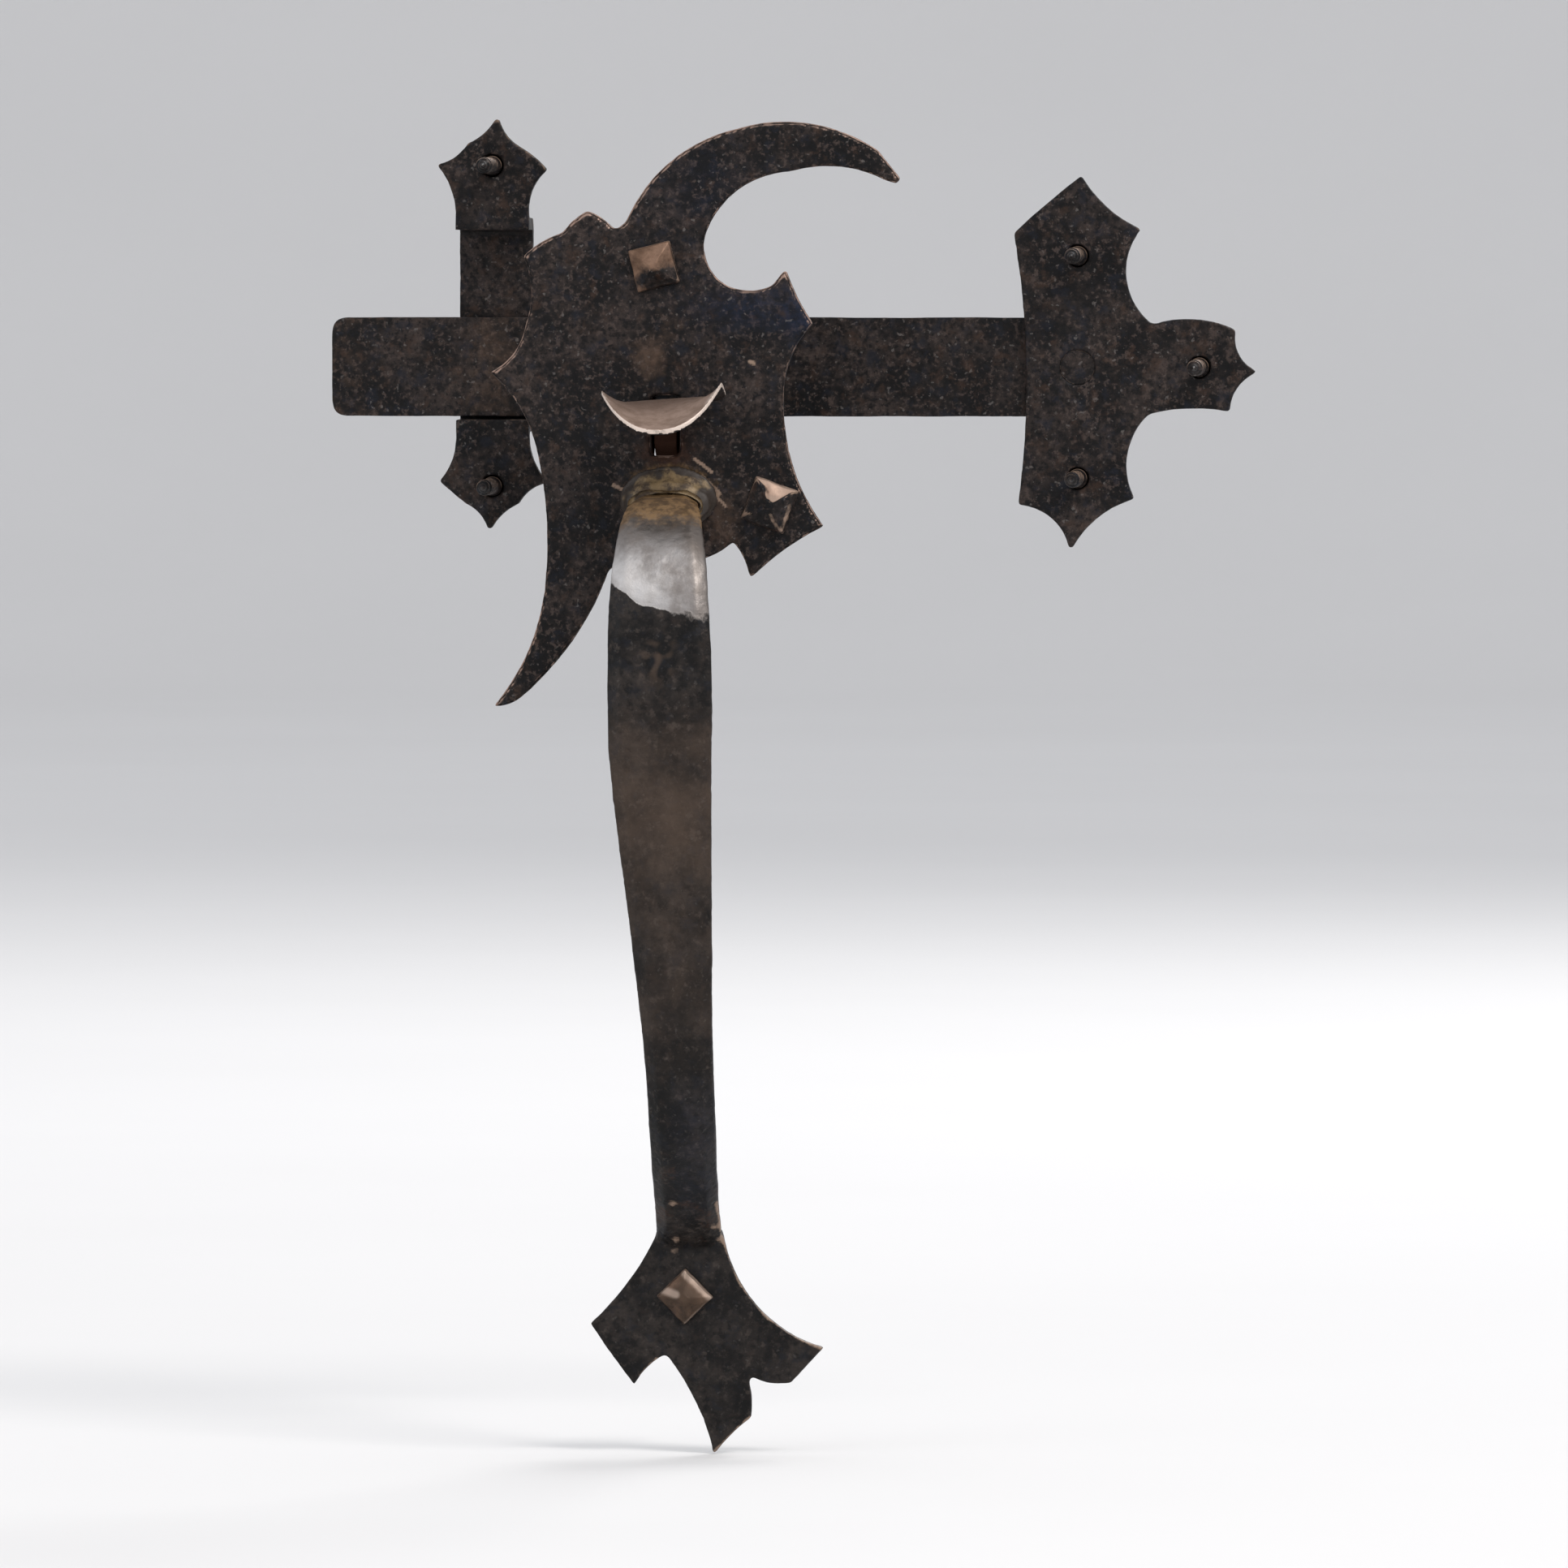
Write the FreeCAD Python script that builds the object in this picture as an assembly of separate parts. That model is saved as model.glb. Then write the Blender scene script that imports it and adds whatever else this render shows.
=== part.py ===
"""Hand-wrought thumb latch for a plank door.

Frame, in millimetres: the origin lies in the lever slot, on the outer face of the door, straight
above the lever's pivot line by -PIVOT_Z. +X points right as seen from outside, towards the door's
hinges. +Y points into the door. +Z is up. The outer face of the door is the plane y = 0, and its
inner face is the plane y = DOOR_THICKNESS.
"""
import FreeCAD, Part
import math
import os

Vector = FreeCAD.Vector
X_AXIS = Vector(1, 0, 0)
Y_AXIS = Vector(0, 1, 0)
Z_AXIS = Vector(0, 0, 1)

# Door and sheet metal
DOOR_THICKNESS = 38.0
PLATE_THICKNESS = 3.0
THORN_RADIUS = 0.5
INNER_THORN_RADIUS = 0.8
TOOL_MARGIN = 1.0
SAME_PLACE = 0.001

# Screws: square pyramid head, plain neck through the plate, round shank in the wood
HEAD_RIM = 1.8
HEAD_HEIGHT = 4.6
HEAD_TIP = 1.6
NECK_RADIUS = 2.3
SCREW_HOLE_RADIUS = 2.5
SHANK_RADIUS = 2.0
POINT_LENGTH = 5.0
POINT_RADIUS = 0.3

# Grip's section: chamfer as a share of the width, at most so wide, and as a share of the thickness
BEVEL_SHARE_ACROSS = 0.22
BEVEL_MOST = 3.0
BEVEL_SHARE_THROUGH = 0.32

# Lever slot, pivot cheeks and pivot
SLOT_HALF = 3.2
SLOT_LOW = -12.2
SLOT_HIGH = 1.2
CHEEK_INNER = 3.2
CHEEK_OUTER = 6.2
CHEEK_TOP = 3.4
CHEEK_LOW = -13.0
CHEEK_DEPTH = 10.0
CHEEK_SEAT = 1.6
CHEEK_CORNER = 4.0
PIVOT_Y = 5.0
PIVOT_Z = -2.0
PIN_RADIUS = 2.0
PIN_HALF_LENGTH = 7.0
PIN_CLEARANCE = 0.06

# Thumb lever
BLADE_HALF = 2.8
BOSS_HALF = 2.9
BOSS_RADIUS = 5.5
HEEL_RADIUS = 10.6
HEEL_FRONT = 44.0
HEEL_BACK = 35.0
HEEL_LOW_RADIUS = 11.3
HEEL_LOW_ANGLE = 4.0
TAIL_TOP = -4.3
PRESS_ROLL = 4.0
PRESS_THICKNESS = 1.6
PRESS_BACK = -5.0
PRESS_FRONT = -31.0
PRESS_HALF_WIDTH = 14.3
PRESS_TRIM = 0.05
PRESS_OFFSET = 0.9

# Latch bar, its rivet and its washers
BAR_LEFT = -84.0
BAR_RIGHT = 108.0
BAR_Z = 8.0
BAR_HEIGHT = 24.0
BAR_THICKNESS = 6.0
BAR_FRONT = DOOR_THICKNESS + 4.0
BAR_CORNER = 3.3
BAR_PIVOT_X = 95.0
BAR_NOSE = 12.0
BAR_NOSE_INSET = 3.0
BAR_NOSE_DROP = 3.6
RIVET_RADIUS = 3.0
RIVET_CLEARANCE = 0.06
RIVET_HEAD_RADIUS = 6.4
RIVET_HEAD_HEIGHT = 3.2
RIVET_HEAD_RIM = 1.0
RIVET_HEAD_TOP = 2.9
RIVET_HEAD_SIDES = 8
RIVET_SINK = 1.4
SPACER_RADIUS = 8.5
WASHER_RADIUS = 8.0
WASHER_THICKNESS = 1.2
SIDE_GAP = 0.1

# Guide that the bar moves in
GUIDE_X = -45.0
GUIDE_HALF = 9.0
GUIDE_STRAP = 3.5
GUIDE_INNER_DEPTH = 11.0
GUIDE_INNER_LOW = -4.3
GUIDE_INNER_HIGH = 40.5
GUIDE_BEND = 4.5
GUIDE_FOOT = 25.0

# Grip's stations: centre x, y, z, lean of the run in degrees, width, thickness
GRIP_STATIONS = [
    (0.4, -3.0, -24.2, 2, 14.6, 6.0),
    (0.5, -10.0, -24.5, 5, 16.4, 5.6),
    (0.7, -18.6, -26.2, 21, 18.4, 5.2),
    (1.0, -27.0, -31.4, 42, 20.8, 5.0),
    (1.3, -33.2, -39.0, 60, 22.8, 4.8),
    (1.5, -36.6, -49.0, 80, 24.2, 4.6),
    (1.7, -37.6, -62.0, 88, 25.1, 4.5),
    (1.8, -38.0, -80.0, 89, 25.1, 4.5),
    (2.7, -38.0, -98.0, 91, 23.2, 4.8),
    (4.0, -37.5, -118.0, 92, 20.6, 5.4),
    (5.2, -36.4, -139.0, 95, 18.1, 6.0),
    (6.1, -33.6, -158.0, 103, 16.6, 6.6),
    (6.3, -26.6, -174.5, 121, 16.1, 6.6),
    (6.0, -14.6, -187.0, 138, 15.8, 6.0),
    (5.7, -4.4, -196.2, 136, 16.2, 4.8),
    (5.6, -1.6, -200.0, 112, 16.6, 2.6),
]

# Corners of the blocks cut off the strap, behind the plate and behind the door's face
ROOT_WASTE = [(-30.0, -PLATE_THICKNESS, -60.0), (30.0, 20.0, 0.0)]
FOOT_WASTE = [(-30.0, 0.0, -230.0), (40.0, 30.0, -150.0)]

# Brass run round the grip's root: each ring's half width, half height, middle z and y
COLLAR_X = 0.8
COLLAR_RINGS = [
    (11.2, 7.4, -22.8, -3.0),
    (10.0, 5.6, -23.4, -4.2),
    (9.3, 4.6, -23.9, -5.9),
    (8.8, 3.8, -24.3, -8.6),
]

# Thumb press's stations, back to front: y, height of its middle line, rise of its sides
PRESS_STATIONS = [
    (-3.0, 1.0, 0.3),
    (-8.0, 0.65, 0.6),
    (-13.0, -0.5, 3.3),
    (-17.0, -1.8, 5.8),
    (-22.0, -3.5, 7.7),
    (-27.0, -5.0, 8.8),
    (-33.0, -6.5, 9.8),
]

# Screws: x, z, side of the head, its turn in degrees
PLATE_SCREWS = {
    "plate_screw_top": (-2.6, 32.0, 10.4, 14),
    "plate_screw_side": (24.8, -24.2, 11.0, -20),
    "foot_screw": (4.7, -211.5, 9.8, 44),
}
PLATE_SCREW_LENGTH = 28.0
BAR_PLATE_SCREWS = {
    "bar_plate_screw_upper": (95.0, 34.5, 9.8, 8),
    "bar_plate_screw_lower": (95.0, -18.5, 9.8, -12),
    "bar_plate_screw_end": (124.0, 8.0, 9.8, 38),
}
GUIDE_SCREWS = {
    "guide_screw_upper": (GUIDE_X, 56.0, 9.4, -10),
    "guide_screw_lower": (GUIDE_X, -20.5, 9.4, 16),
}
INNER_SCREW_LENGTH = 25.0


def front_point(x, z):
    """A point of the door's outer face."""
    return Vector(x, 0, z)


def side_point(y, z):
    """A point of the latch's middle plane, seen from the side."""
    return Vector(0, y, z)


def outline_face(start, steps, place):
    """A flat face. A step is the next corner (a, b), or (via, corner) for a round stretch.

    The outline closes with a straight edge unless its last step already ends at the start.
    """
    closing = [] if start in (steps[-1], steps[-1][-1]) else [start]
    edges = []
    here = start
    for step in steps + closing:
        via, corner = step if isinstance(step[0], tuple) else (None, step)
        if via:
            edges.append(Part.Arc(place(*here), place(*via), place(*corner)).toShape())
        else:
            edges.append(Part.LineSegment(place(*here), place(*corner)).toShape())
        here = corner
    return Part.Face(Part.Wire(edges))


def sheet(start, steps, y_low, y_high):
    """A plate with this outline on the door, between two depths."""
    face = outline_face(start, steps, front_point)
    face.translate(Vector(0, y_low, 0))
    return face.extrude(Vector(0, y_high - y_low, 0))


def thorned_sheet(start, steps, y_low, y_high, radius):
    """A plate whose corners are all a little blunt, as forged points are."""
    plate = sheet(start, steps, y_low, y_high)
    return plate.makeFillet(radius, [edge for edge in plate.Edges if runs_through(edge)])


def runs_through(edge):
    """True for a plate's corner edge, which runs straight from face to face."""
    run = edge.Vertexes[-1].Point - edge.Vertexes[0].Point
    return run.Length > 0 and abs(run.x) + abs(run.z) < SAME_PLACE


def side_plate(start, steps, x_low, x_high):
    """A solid with this side outline, between two widths."""
    face = outline_face(start, steps, side_point)
    face.translate(Vector(x_low, 0, 0))
    return face.extrude(Vector(x_high - x_low, 0, 0))


def rod(radius, start, end):
    """A round bar from one point to another."""
    return Part.makeCylinder(radius, (end - start).Length, start, end - start)


def pivot_rod(radius, half_length):
    """A round bar on the lever's pivot line."""
    left = Vector(-half_length, PIVOT_Y, PIVOT_Z)
    return rod(radius, left, left + X_AXIS * (2 * half_length))


def block(low, high):
    """A box between two corners."""
    low, high = Vector(*low), Vector(*high)
    size = high - low
    return Part.makeBox(size.x, size.y, size.z, low)


def strap_section(centre, lean, width, thickness):
    """Outline across a forged strap: a bar with chamfered edges, square to the strap's run.

    lean is the run's angle in the side view: 0 runs straight out of the door, 90 runs down.
    """
    half_width = width / 2
    half = thickness / 2
    bevel_across = min(BEVEL_SHARE_ACROSS * width, BEVEL_MOST)
    bevel_through = BEVEL_SHARE_THROUGH * thickness
    outward = Vector(0, -math.sin(math.radians(lean)), math.cos(math.radians(lean)))
    corners = [
        (-half_width + bevel_across, half),
        (half_width - bevel_across, half),
        (half_width, half - bevel_through),
        (half_width, -half + bevel_through),
        (half_width - bevel_across, -half),
        (-half_width + bevel_across, -half),
        (-half_width, -half + bevel_through),
        (-half_width, half - bevel_through),
    ]
    points = [centre + X_AXIS * a + outward * b for a, b in corners]
    return Part.makePolygon(points + points[:1])


# ---------------------------------------------------------------- screws


def pyramid_screw(x, z, head, turn, seat, length):
    """Screw with its head's underside at y = -seat and its point at y = length."""
    spin = FreeCAD.Rotation(Y_AXIS, -turn)

    def ring(side, y):
        half = side / 2
        corners = [(-half, -half), (half, -half), (half, half), (-half, half)]
        points = [spin.multVec(Vector(a, 0, b)) + Vector(0, y, 0) for a, b in corners]
        return Part.makePolygon(points + points[:1])

    rings = [ring(head, -seat), ring(head, -seat - HEAD_RIM), ring(HEAD_TIP, -seat - HEAD_HEIGHT)]
    body = Part.makeLoft(rings, True, True)
    body = body.fuse(rod(NECK_RADIUS, side_point(-seat, 0), side_point(0, 0)))
    taper_start = length - POINT_LENGTH
    body = body.fuse(rod(SHANK_RADIUS, side_point(0, 0), side_point(taper_start, 0)))
    tip = Part.makeCone(SHANK_RADIUS, POINT_RADIUS, POINT_LENGTH, side_point(taper_start, 0), Y_AXIS)
    body = body.fuse(tip)
    body.translate(Vector(x, 0, z))
    return body


def inner_screw(x, z, head, turn, seat):
    """The same screw driven from the door's inner face, pointing outwards."""
    screw = pyramid_screw(0, 0, head, turn, seat, INNER_SCREW_LENGTH)
    screw.rotate(Vector(0, 0, 0), Z_AXIS, 180)
    screw.translate(Vector(x, DOOR_THICKNESS, z))
    return screw


def screw_holes(screws, y_low, y_high):
    """Clearance holes for a set of screws."""
    holes = []
    for x, z, _, _ in screws.values():
        start = Vector(x, y_low - TOOL_MARGIN, z)
        end = Vector(x, y_high + TOOL_MARGIN, z)
        holes.append(rod(SCREW_HOLE_RADIUS, start, end))
    return holes


# ---------------------------------------------------------------- outside of the door

def handle_plate():
    """Upper plate: horn at the top right, thorns on both sides and a claw at the lower left."""
    notch = (-11.9, 40.8)
    horn_outer = [
        (-9.5, 42.8),
        ((-1.3, 54.9), (16.9, 64.8)),
        ((34.5, 65.9), (50.6, 59.5)),
        (55.9, 52.8),
        (54.8, 51.4),
        (52.0, 52.1),
    ]
    horn_inner = [
        ((41.5, 55.3), (29.6, 54.2)),
        ((15.6, 48.5), (9.7, 39.5)),
        ((10.3, 32.6), (14.9, 27.6)),
        ((20.0, 26.6), (25.4, 27.9)),
        ((26.8, 29.9), (28.7, 31.8)),
    ]
    right_side = [
        ((31.3, 25.3), (35.3, 18.5)),
        ((30.3, 11.5), (28.3, 1.1)),
        ((30.2, -14.4), (37.8, -29.3)),
        ((27.9, -35.3), (19.9, -42.0)),
        ((18.2, -36.6), (16.0, -33.2)),
        ((10.4, -36.8), (3.0, -38.4)),
    ]
    claw = [
        ((-5.0, -37.4), (-13.2, -39.6)),
        ((-21.0, -55.2), (-34.1, -69.9)),
        ((-37.6, -71.8), (-41.3, -72.1)),
        ((-33.2, -59.4), (-29.0, -45.0)),
        ((-28.3, -30.0), (-31.0, -10.0)),
        ((-34.4, -1.9), (-42.0, 7.2)),
    ]
    left_side = [
        ((-36.6, 11.2), (-33.6, 17.5)),
        ((-32.1, 26.0), (-33.9, 34.5)),
        ((-29.2, 38.2), (-24.4, 40.2)),
        ((-21.6, 43.4), (-18.5, 45.4)),
        ((-15.4, 44.0), notch),
    ]
    steps = horn_outer + horn_inner + right_side + claw + left_side
    plate = thorned_sheet(notch, steps, -PLATE_THICKNESS, 0, THORN_RADIUS)
    front = -PLATE_THICKNESS - TOOL_MARGIN
    slot = block((-SLOT_HALF, front, SLOT_LOW), (SLOT_HALF, TOOL_MARGIN, SLOT_HIGH))
    cheek_seat = block(
        (-CHEEK_OUTER, -CHEEK_SEAT, CHEEK_LOW), (CHEEK_OUTER, TOOL_MARGIN, CHEEK_TOP)
    )
    own_screws = {name: PLATE_SCREWS[name] for name in ("plate_screw_top", "plate_screw_side")}
    return plate.cut([slot, cheek_seat] + screw_holes(own_screws, -PLATE_THICKNESS, 0))


def foot_plate():
    """Lower end of the grip, beaten flat against the door, with three prongs and two thorns."""
    steps = [
        (-2.8, -197.3),
        ((-9.4, -208.3), (-18.3, -217.9)),
        ((-12.0, -226.8), (-7.4, -233.0)),
        ((-4.4, -228.7), (0.0, -225.6)),
        ((5.2, -233.4), (11.3, -249.4)),
        ((15.4, -244.6), (20.5, -240.2)),
        ((20.7, -235.4), (19.6, -230.2)),
        ((24.8, -232.2), (30.0, -232.0)),
        (38.1, -223.2),
        ((24.4, -216.0), (14.4, -198.6)),
        (13.6, -195.4),
    ]
    return thorned_sheet((-2.4, -195.4), steps, -PLATE_THICKNESS, 0, THORN_RADIUS)


def grip():
    """Strap grip that springs from the plate, bows out for the hand and ends in the foot plate."""
    sections = [
        strap_section(Vector(x, y, z), lean, width, thickness)
        for x, y, z, lean, width, thickness in GRIP_STATIONS
    ]
    strap = Part.makeLoft(sections, True, False)
    strap = strap.cut([block(*ROOT_WASTE), block(*FOOT_WASTE)])
    whole = strap.fuse(foot_plate()).removeSplitter()
    own_screws = {"foot_screw": PLATE_SCREWS["foot_screw"]}
    return whole.cut(screw_holes(own_screws, -PLATE_THICKNESS, 0))


def braze_collar(grip_shape):
    """Brass run round the grip's root, like a small skirt on the plate."""

    def ring(half_x, half_z, middle, y):
        ellipse = Part.Ellipse(Vector(COLLAR_X, y, middle), half_x, half_z)
        ellipse.Axis = Vector(0, -1, 0)
        ellipse.XAxis = X_AXIS
        return Part.Wire([ellipse.toShape()])

    rings = [ring(*station) for station in COLLAR_RINGS]
    return Part.makeLoft(rings, True).cut(grip_shape)


# ---------------------------------------------------------------- thumb lever and pivot


def thumb_press():
    """Scoop for the thumb: flat where it meets the blade, tipped down and dished at the front."""

    def section(y, middle, rise):
        half = PRESS_HALF_WIDTH
        below = -PRESS_THICKNESS
        top = Part.Arc(
            Vector(-half, y, middle + rise), Vector(0, y, middle), Vector(half, y, middle + rise)
        ).toShape()
        bottom = top.translated(Vector(0, 0, below))
        left = Part.LineSegment(
            Vector(-half, y, middle + rise), Vector(-half, y, middle + rise + below)
        ).toShape()
        right = Part.LineSegment(
            Vector(half, y, middle + rise), Vector(half, y, middle + rise + below)
        ).toShape()
        return Part.Wire([top, right, bottom, left])

    dish = Part.makeLoft([section(*station) for station in PRESS_STATIONS], True, False)
    wide = PRESS_HALF_WIDTH - PRESS_TRIM
    steps = [
        ((-13.6, -9.2), (-wide, -16.0)),
        ((-11.3, -26.8), (0.0, PRESS_FRONT)),
        ((11.3, -26.8), (wide, -16.0)),
        ((13.6, -9.2), (9.5, PRESS_BACK - 0.6)),
        (5.0, PRESS_BACK + 1.0),
        (-5.0, PRESS_BACK + 1.0),
    ]
    plan = outline_face((-9.5, PRESS_BACK - 0.6), steps, lambda a, b: Vector(a, b, -20))
    press = dish.common(plan.extrude(Vector(0, 0, 40)))
    press.rotate(Vector(0, 0, 0), Y_AXIS, -PRESS_ROLL)
    press.translate(Vector(PRESS_OFFSET, 0, 0))
    return press


def heel():
    """Round lower edge of the blade, deepest under the pivot, which fills the slot from behind."""

    def rim(angle, radius=HEEL_RADIUS):
        turn = math.radians(angle)
        return (PIVOT_Y + radius * math.sin(turn), PIVOT_Z - radius * math.cos(turn))

    lowest = rim(HEEL_LOW_ANGLE, HEEL_LOW_RADIUS)
    steps = [rim(-HEEL_FRONT), (lowest, rim(HEEL_BACK)), (13.5, -5.0)]
    return side_plate((-1.5, -4.5), steps, -BLADE_HALF, BLADE_HALF)


def thumb_lever():
    """Press, blade through the slot, pivot boss, heel and the tail that lifts the bar."""
    bar_back = BAR_FRONT + BAR_THICKNESS
    blade = side_plate(
        (-13.0, -1.5),
        [
            (PRESS_BACK, 0.4),
            ((-1.0, 0.5), (PIVOT_Y, 3.2)),
            ((16.0, 0.0), (30.0, TAIL_TOP)),
            (bar_back + 2.0, TAIL_TOP),
            (bar_back + 2.0, TAIL_TOP - 5.4),
            (30.0, TAIL_TOP - 6.6),
            ((12.0, -8.2), (PIVOT_Y, -7.2)),
            ((-3.0, -6.4), (-15.0, -2.4)),
        ],
        -BLADE_HALF,
        BLADE_HALF,
    )
    curl = side_plate(
        (bar_back + 2.0, TAIL_TOP),
        [
            ((bar_back + 8.6, TAIL_TOP - 3.0), (bar_back + 11.0, TAIL_TOP - 10.0)),
            ((bar_back + 14.6, TAIL_TOP - 14.0), (bar_back + 18.4, TAIL_TOP - 9.6)),
            (bar_back + 21.2, TAIL_TOP - 8.6),
            ((bar_back + 14.6, TAIL_TOP - 18.6), (bar_back + 6.4, TAIL_TOP - 11.0)),
            ((bar_back + 4.8, TAIL_TOP - 7.2), (bar_back + 2.0, TAIL_TOP - 5.4)),
        ],
        -BLADE_HALF,
        BLADE_HALF,
    )
    boss = pivot_rod(BOSS_RADIUS, BOSS_HALF)
    hole = pivot_rod(PIN_RADIUS + PIN_CLEARANCE, BOSS_HALF + TOOL_MARGIN)
    return blade.fuse([curl, heel(), boss, thumb_press()]).cut(hole).removeSplitter()


def pivot_cheek(side):
    """Cheek let into the plate's back beside the slot. side is -1 for left and 1 for right."""
    low, high = CHEEK_LOW, CHEEK_TOP
    nearest = CHEEK_INNER if side > 0 else -CHEEK_OUTER
    cheek = side_plate(
        (-CHEEK_SEAT, low),
        [
            (-CHEEK_SEAT, high),
            (CHEEK_DEPTH - CHEEK_CORNER, high),
            (CHEEK_DEPTH, high - CHEEK_CORNER),
            (CHEEK_DEPTH, low + CHEEK_CORNER),
            (CHEEK_DEPTH - CHEEK_CORNER, low),
        ],
        nearest,
        nearest + CHEEK_OUTER - CHEEK_INNER,
    )
    return cheek.cut(pivot_rod(PIN_RADIUS, CHEEK_OUTER + TOOL_MARGIN))


def pivot_pin():
    """Plain pin that stands a little proud of both cheeks."""
    return pivot_rod(PIN_RADIUS, PIN_HALF_LENGTH)


# ---------------------------------------------------------------- inside of the door

def latch_bar():
    """Flat bar that drops behind the catch, with rounded corners at its free end."""
    low = BAR_Z - BAR_HEIGHT / 2
    high = BAR_Z + BAR_HEIGHT / 2
    inset = BAR_CORNER * (1 - math.sqrt(0.5))
    left, right = BAR_LEFT, BAR_RIGHT
    steps = [
        ((left + inset, high - inset), (left + BAR_CORNER, high)),
        (right - BAR_NOSE, high),
        ((right - BAR_NOSE_INSET, high - BAR_NOSE_DROP), (right, BAR_Z)),
        ((right - BAR_NOSE_INSET, low + BAR_NOSE_DROP), (right - BAR_NOSE, low)),
        (left + BAR_CORNER, low),
        ((left + inset, low + inset), (left, low + BAR_CORNER)),
    ]
    bar = sheet((left, high - BAR_CORNER), steps, BAR_FRONT, BAR_FRONT + BAR_THICKNESS)
    hole = rod(
        RIVET_RADIUS + RIVET_CLEARANCE,
        Vector(BAR_PIVOT_X, BAR_FRONT - TOOL_MARGIN, BAR_Z),
        Vector(BAR_PIVOT_X, BAR_FRONT + BAR_THICKNESS + TOOL_MARGIN, BAR_Z),
    )
    return bar.cut(hole)


def bar_plate():
    """Plate on the inner face that carries the bar's pivot, cut with the same thorns."""
    x, z = BAR_PIVOT_X, BAR_Z
    steps = [
        ((x - 6.5, z + 40.0), (x + 1.0, z + 46.0)),
        ((x + 7.5, z + 38.0), (x + 15.5, z + 33.0)),
        ((x + 12.0, z + 20.0), (x + 18.0, z + 10.5)),
        ((x + 30.0, z + 11.5), (x + 38.0, z + 9.0)),
        ((x + 38.5, z + 3.5), (x + 44.0, z - 1.0)),
        ((x + 38.0, z - 5.5), (x + 36.5, z - 11.0)),
        ((x + 27.0, z - 10.0), (x + 17.0, z - 11.5)),
        ((x + 12.0, z - 21.0), (x + 14.0, z - 31.5)),
        ((x + 5.0, z - 36.0), (x - 2.0, z - 45.0)),
        ((x - 6.0, z - 36.5), (x - 14.5, z - 33.0)),
        ((x - 12.5, z), (x - 15.5, z + 32.0)),
    ]
    plate_front = DOOR_THICKNESS + PLATE_THICKNESS
    start = (x - 15.5, z + 32.0)
    plate = thorned_sheet(start, steps, DOOR_THICKNESS, plate_front, INNER_THORN_RADIUS)
    hole = rod(
        RIVET_RADIUS,
        Vector(x, DOOR_THICKNESS - TOOL_MARGIN, z),
        Vector(x, plate_front + TOOL_MARGIN, z),
    )
    holes = screw_holes(BAR_PLATE_SCREWS, DOOR_THICKNESS, plate_front)
    return plate.cut([hole, rivet_foot()] + holes)


def rivet_foot():
    """The rivet's end, hammered into a countersink flush with the back of the bar plate."""
    foot = Vector(BAR_PIVOT_X, DOOR_THICKNESS, BAR_Z)
    return Part.makeCone(RIVET_RADIUS + RIVET_SINK, RIVET_RADIUS, RIVET_SINK, foot, Y_AXIS)


def bar_rivet():
    """Rivet that the bar turns on, with a hammered eight-sided head."""
    head_seat = BAR_FRONT + BAR_THICKNESS + SIDE_GAP + WASHER_THICKNESS
    shank = rod(
        RIVET_RADIUS,
        Vector(BAR_PIVOT_X, DOOR_THICKNESS, BAR_Z),
        Vector(BAR_PIVOT_X, head_seat, BAR_Z),
    )

    def ring(radius, y):
        angles = [math.tau * (i + 0.5) / RIVET_HEAD_SIDES for i in range(RIVET_HEAD_SIDES)]
        points = [
            Vector(BAR_PIVOT_X + radius * math.cos(a), y, BAR_Z + radius * math.sin(a)) for a in angles
        ]
        return Part.makePolygon(points + points[:1])

    rings = [
        ring(RIVET_HEAD_RADIUS, head_seat),
        ring(RIVET_HEAD_RADIUS, head_seat + RIVET_HEAD_RIM),
        ring(RIVET_HEAD_TOP, head_seat + RIVET_HEAD_HEIGHT),
    ]
    head = Part.makeLoft(rings, True, True)
    return shank.fuse([rivet_foot(), head])


def washer(radius, y_low, y_high):
    """Round washer on the rivet."""
    centre_low = Vector(BAR_PIVOT_X, y_low, BAR_Z)
    centre_high = Vector(BAR_PIVOT_X, y_high, BAR_Z)
    hole = rod(RIVET_RADIUS + RIVET_CLEARANCE, centre_low, centre_high)
    return rod(radius, centre_low, centre_high).cut(hole)


def spacer_washer():
    """Washer that keeps the bar off its plate."""
    return washer(SPACER_RADIUS, DOOR_THICKNESS + PLATE_THICKNESS, BAR_FRONT - SIDE_GAP)


def head_washer():
    """Washer under the rivet's head."""
    bar_back = BAR_FRONT + BAR_THICKNESS + SIDE_GAP
    return washer(WASHER_RADIUS, bar_back, bar_back + WASHER_THICKNESS)


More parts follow.
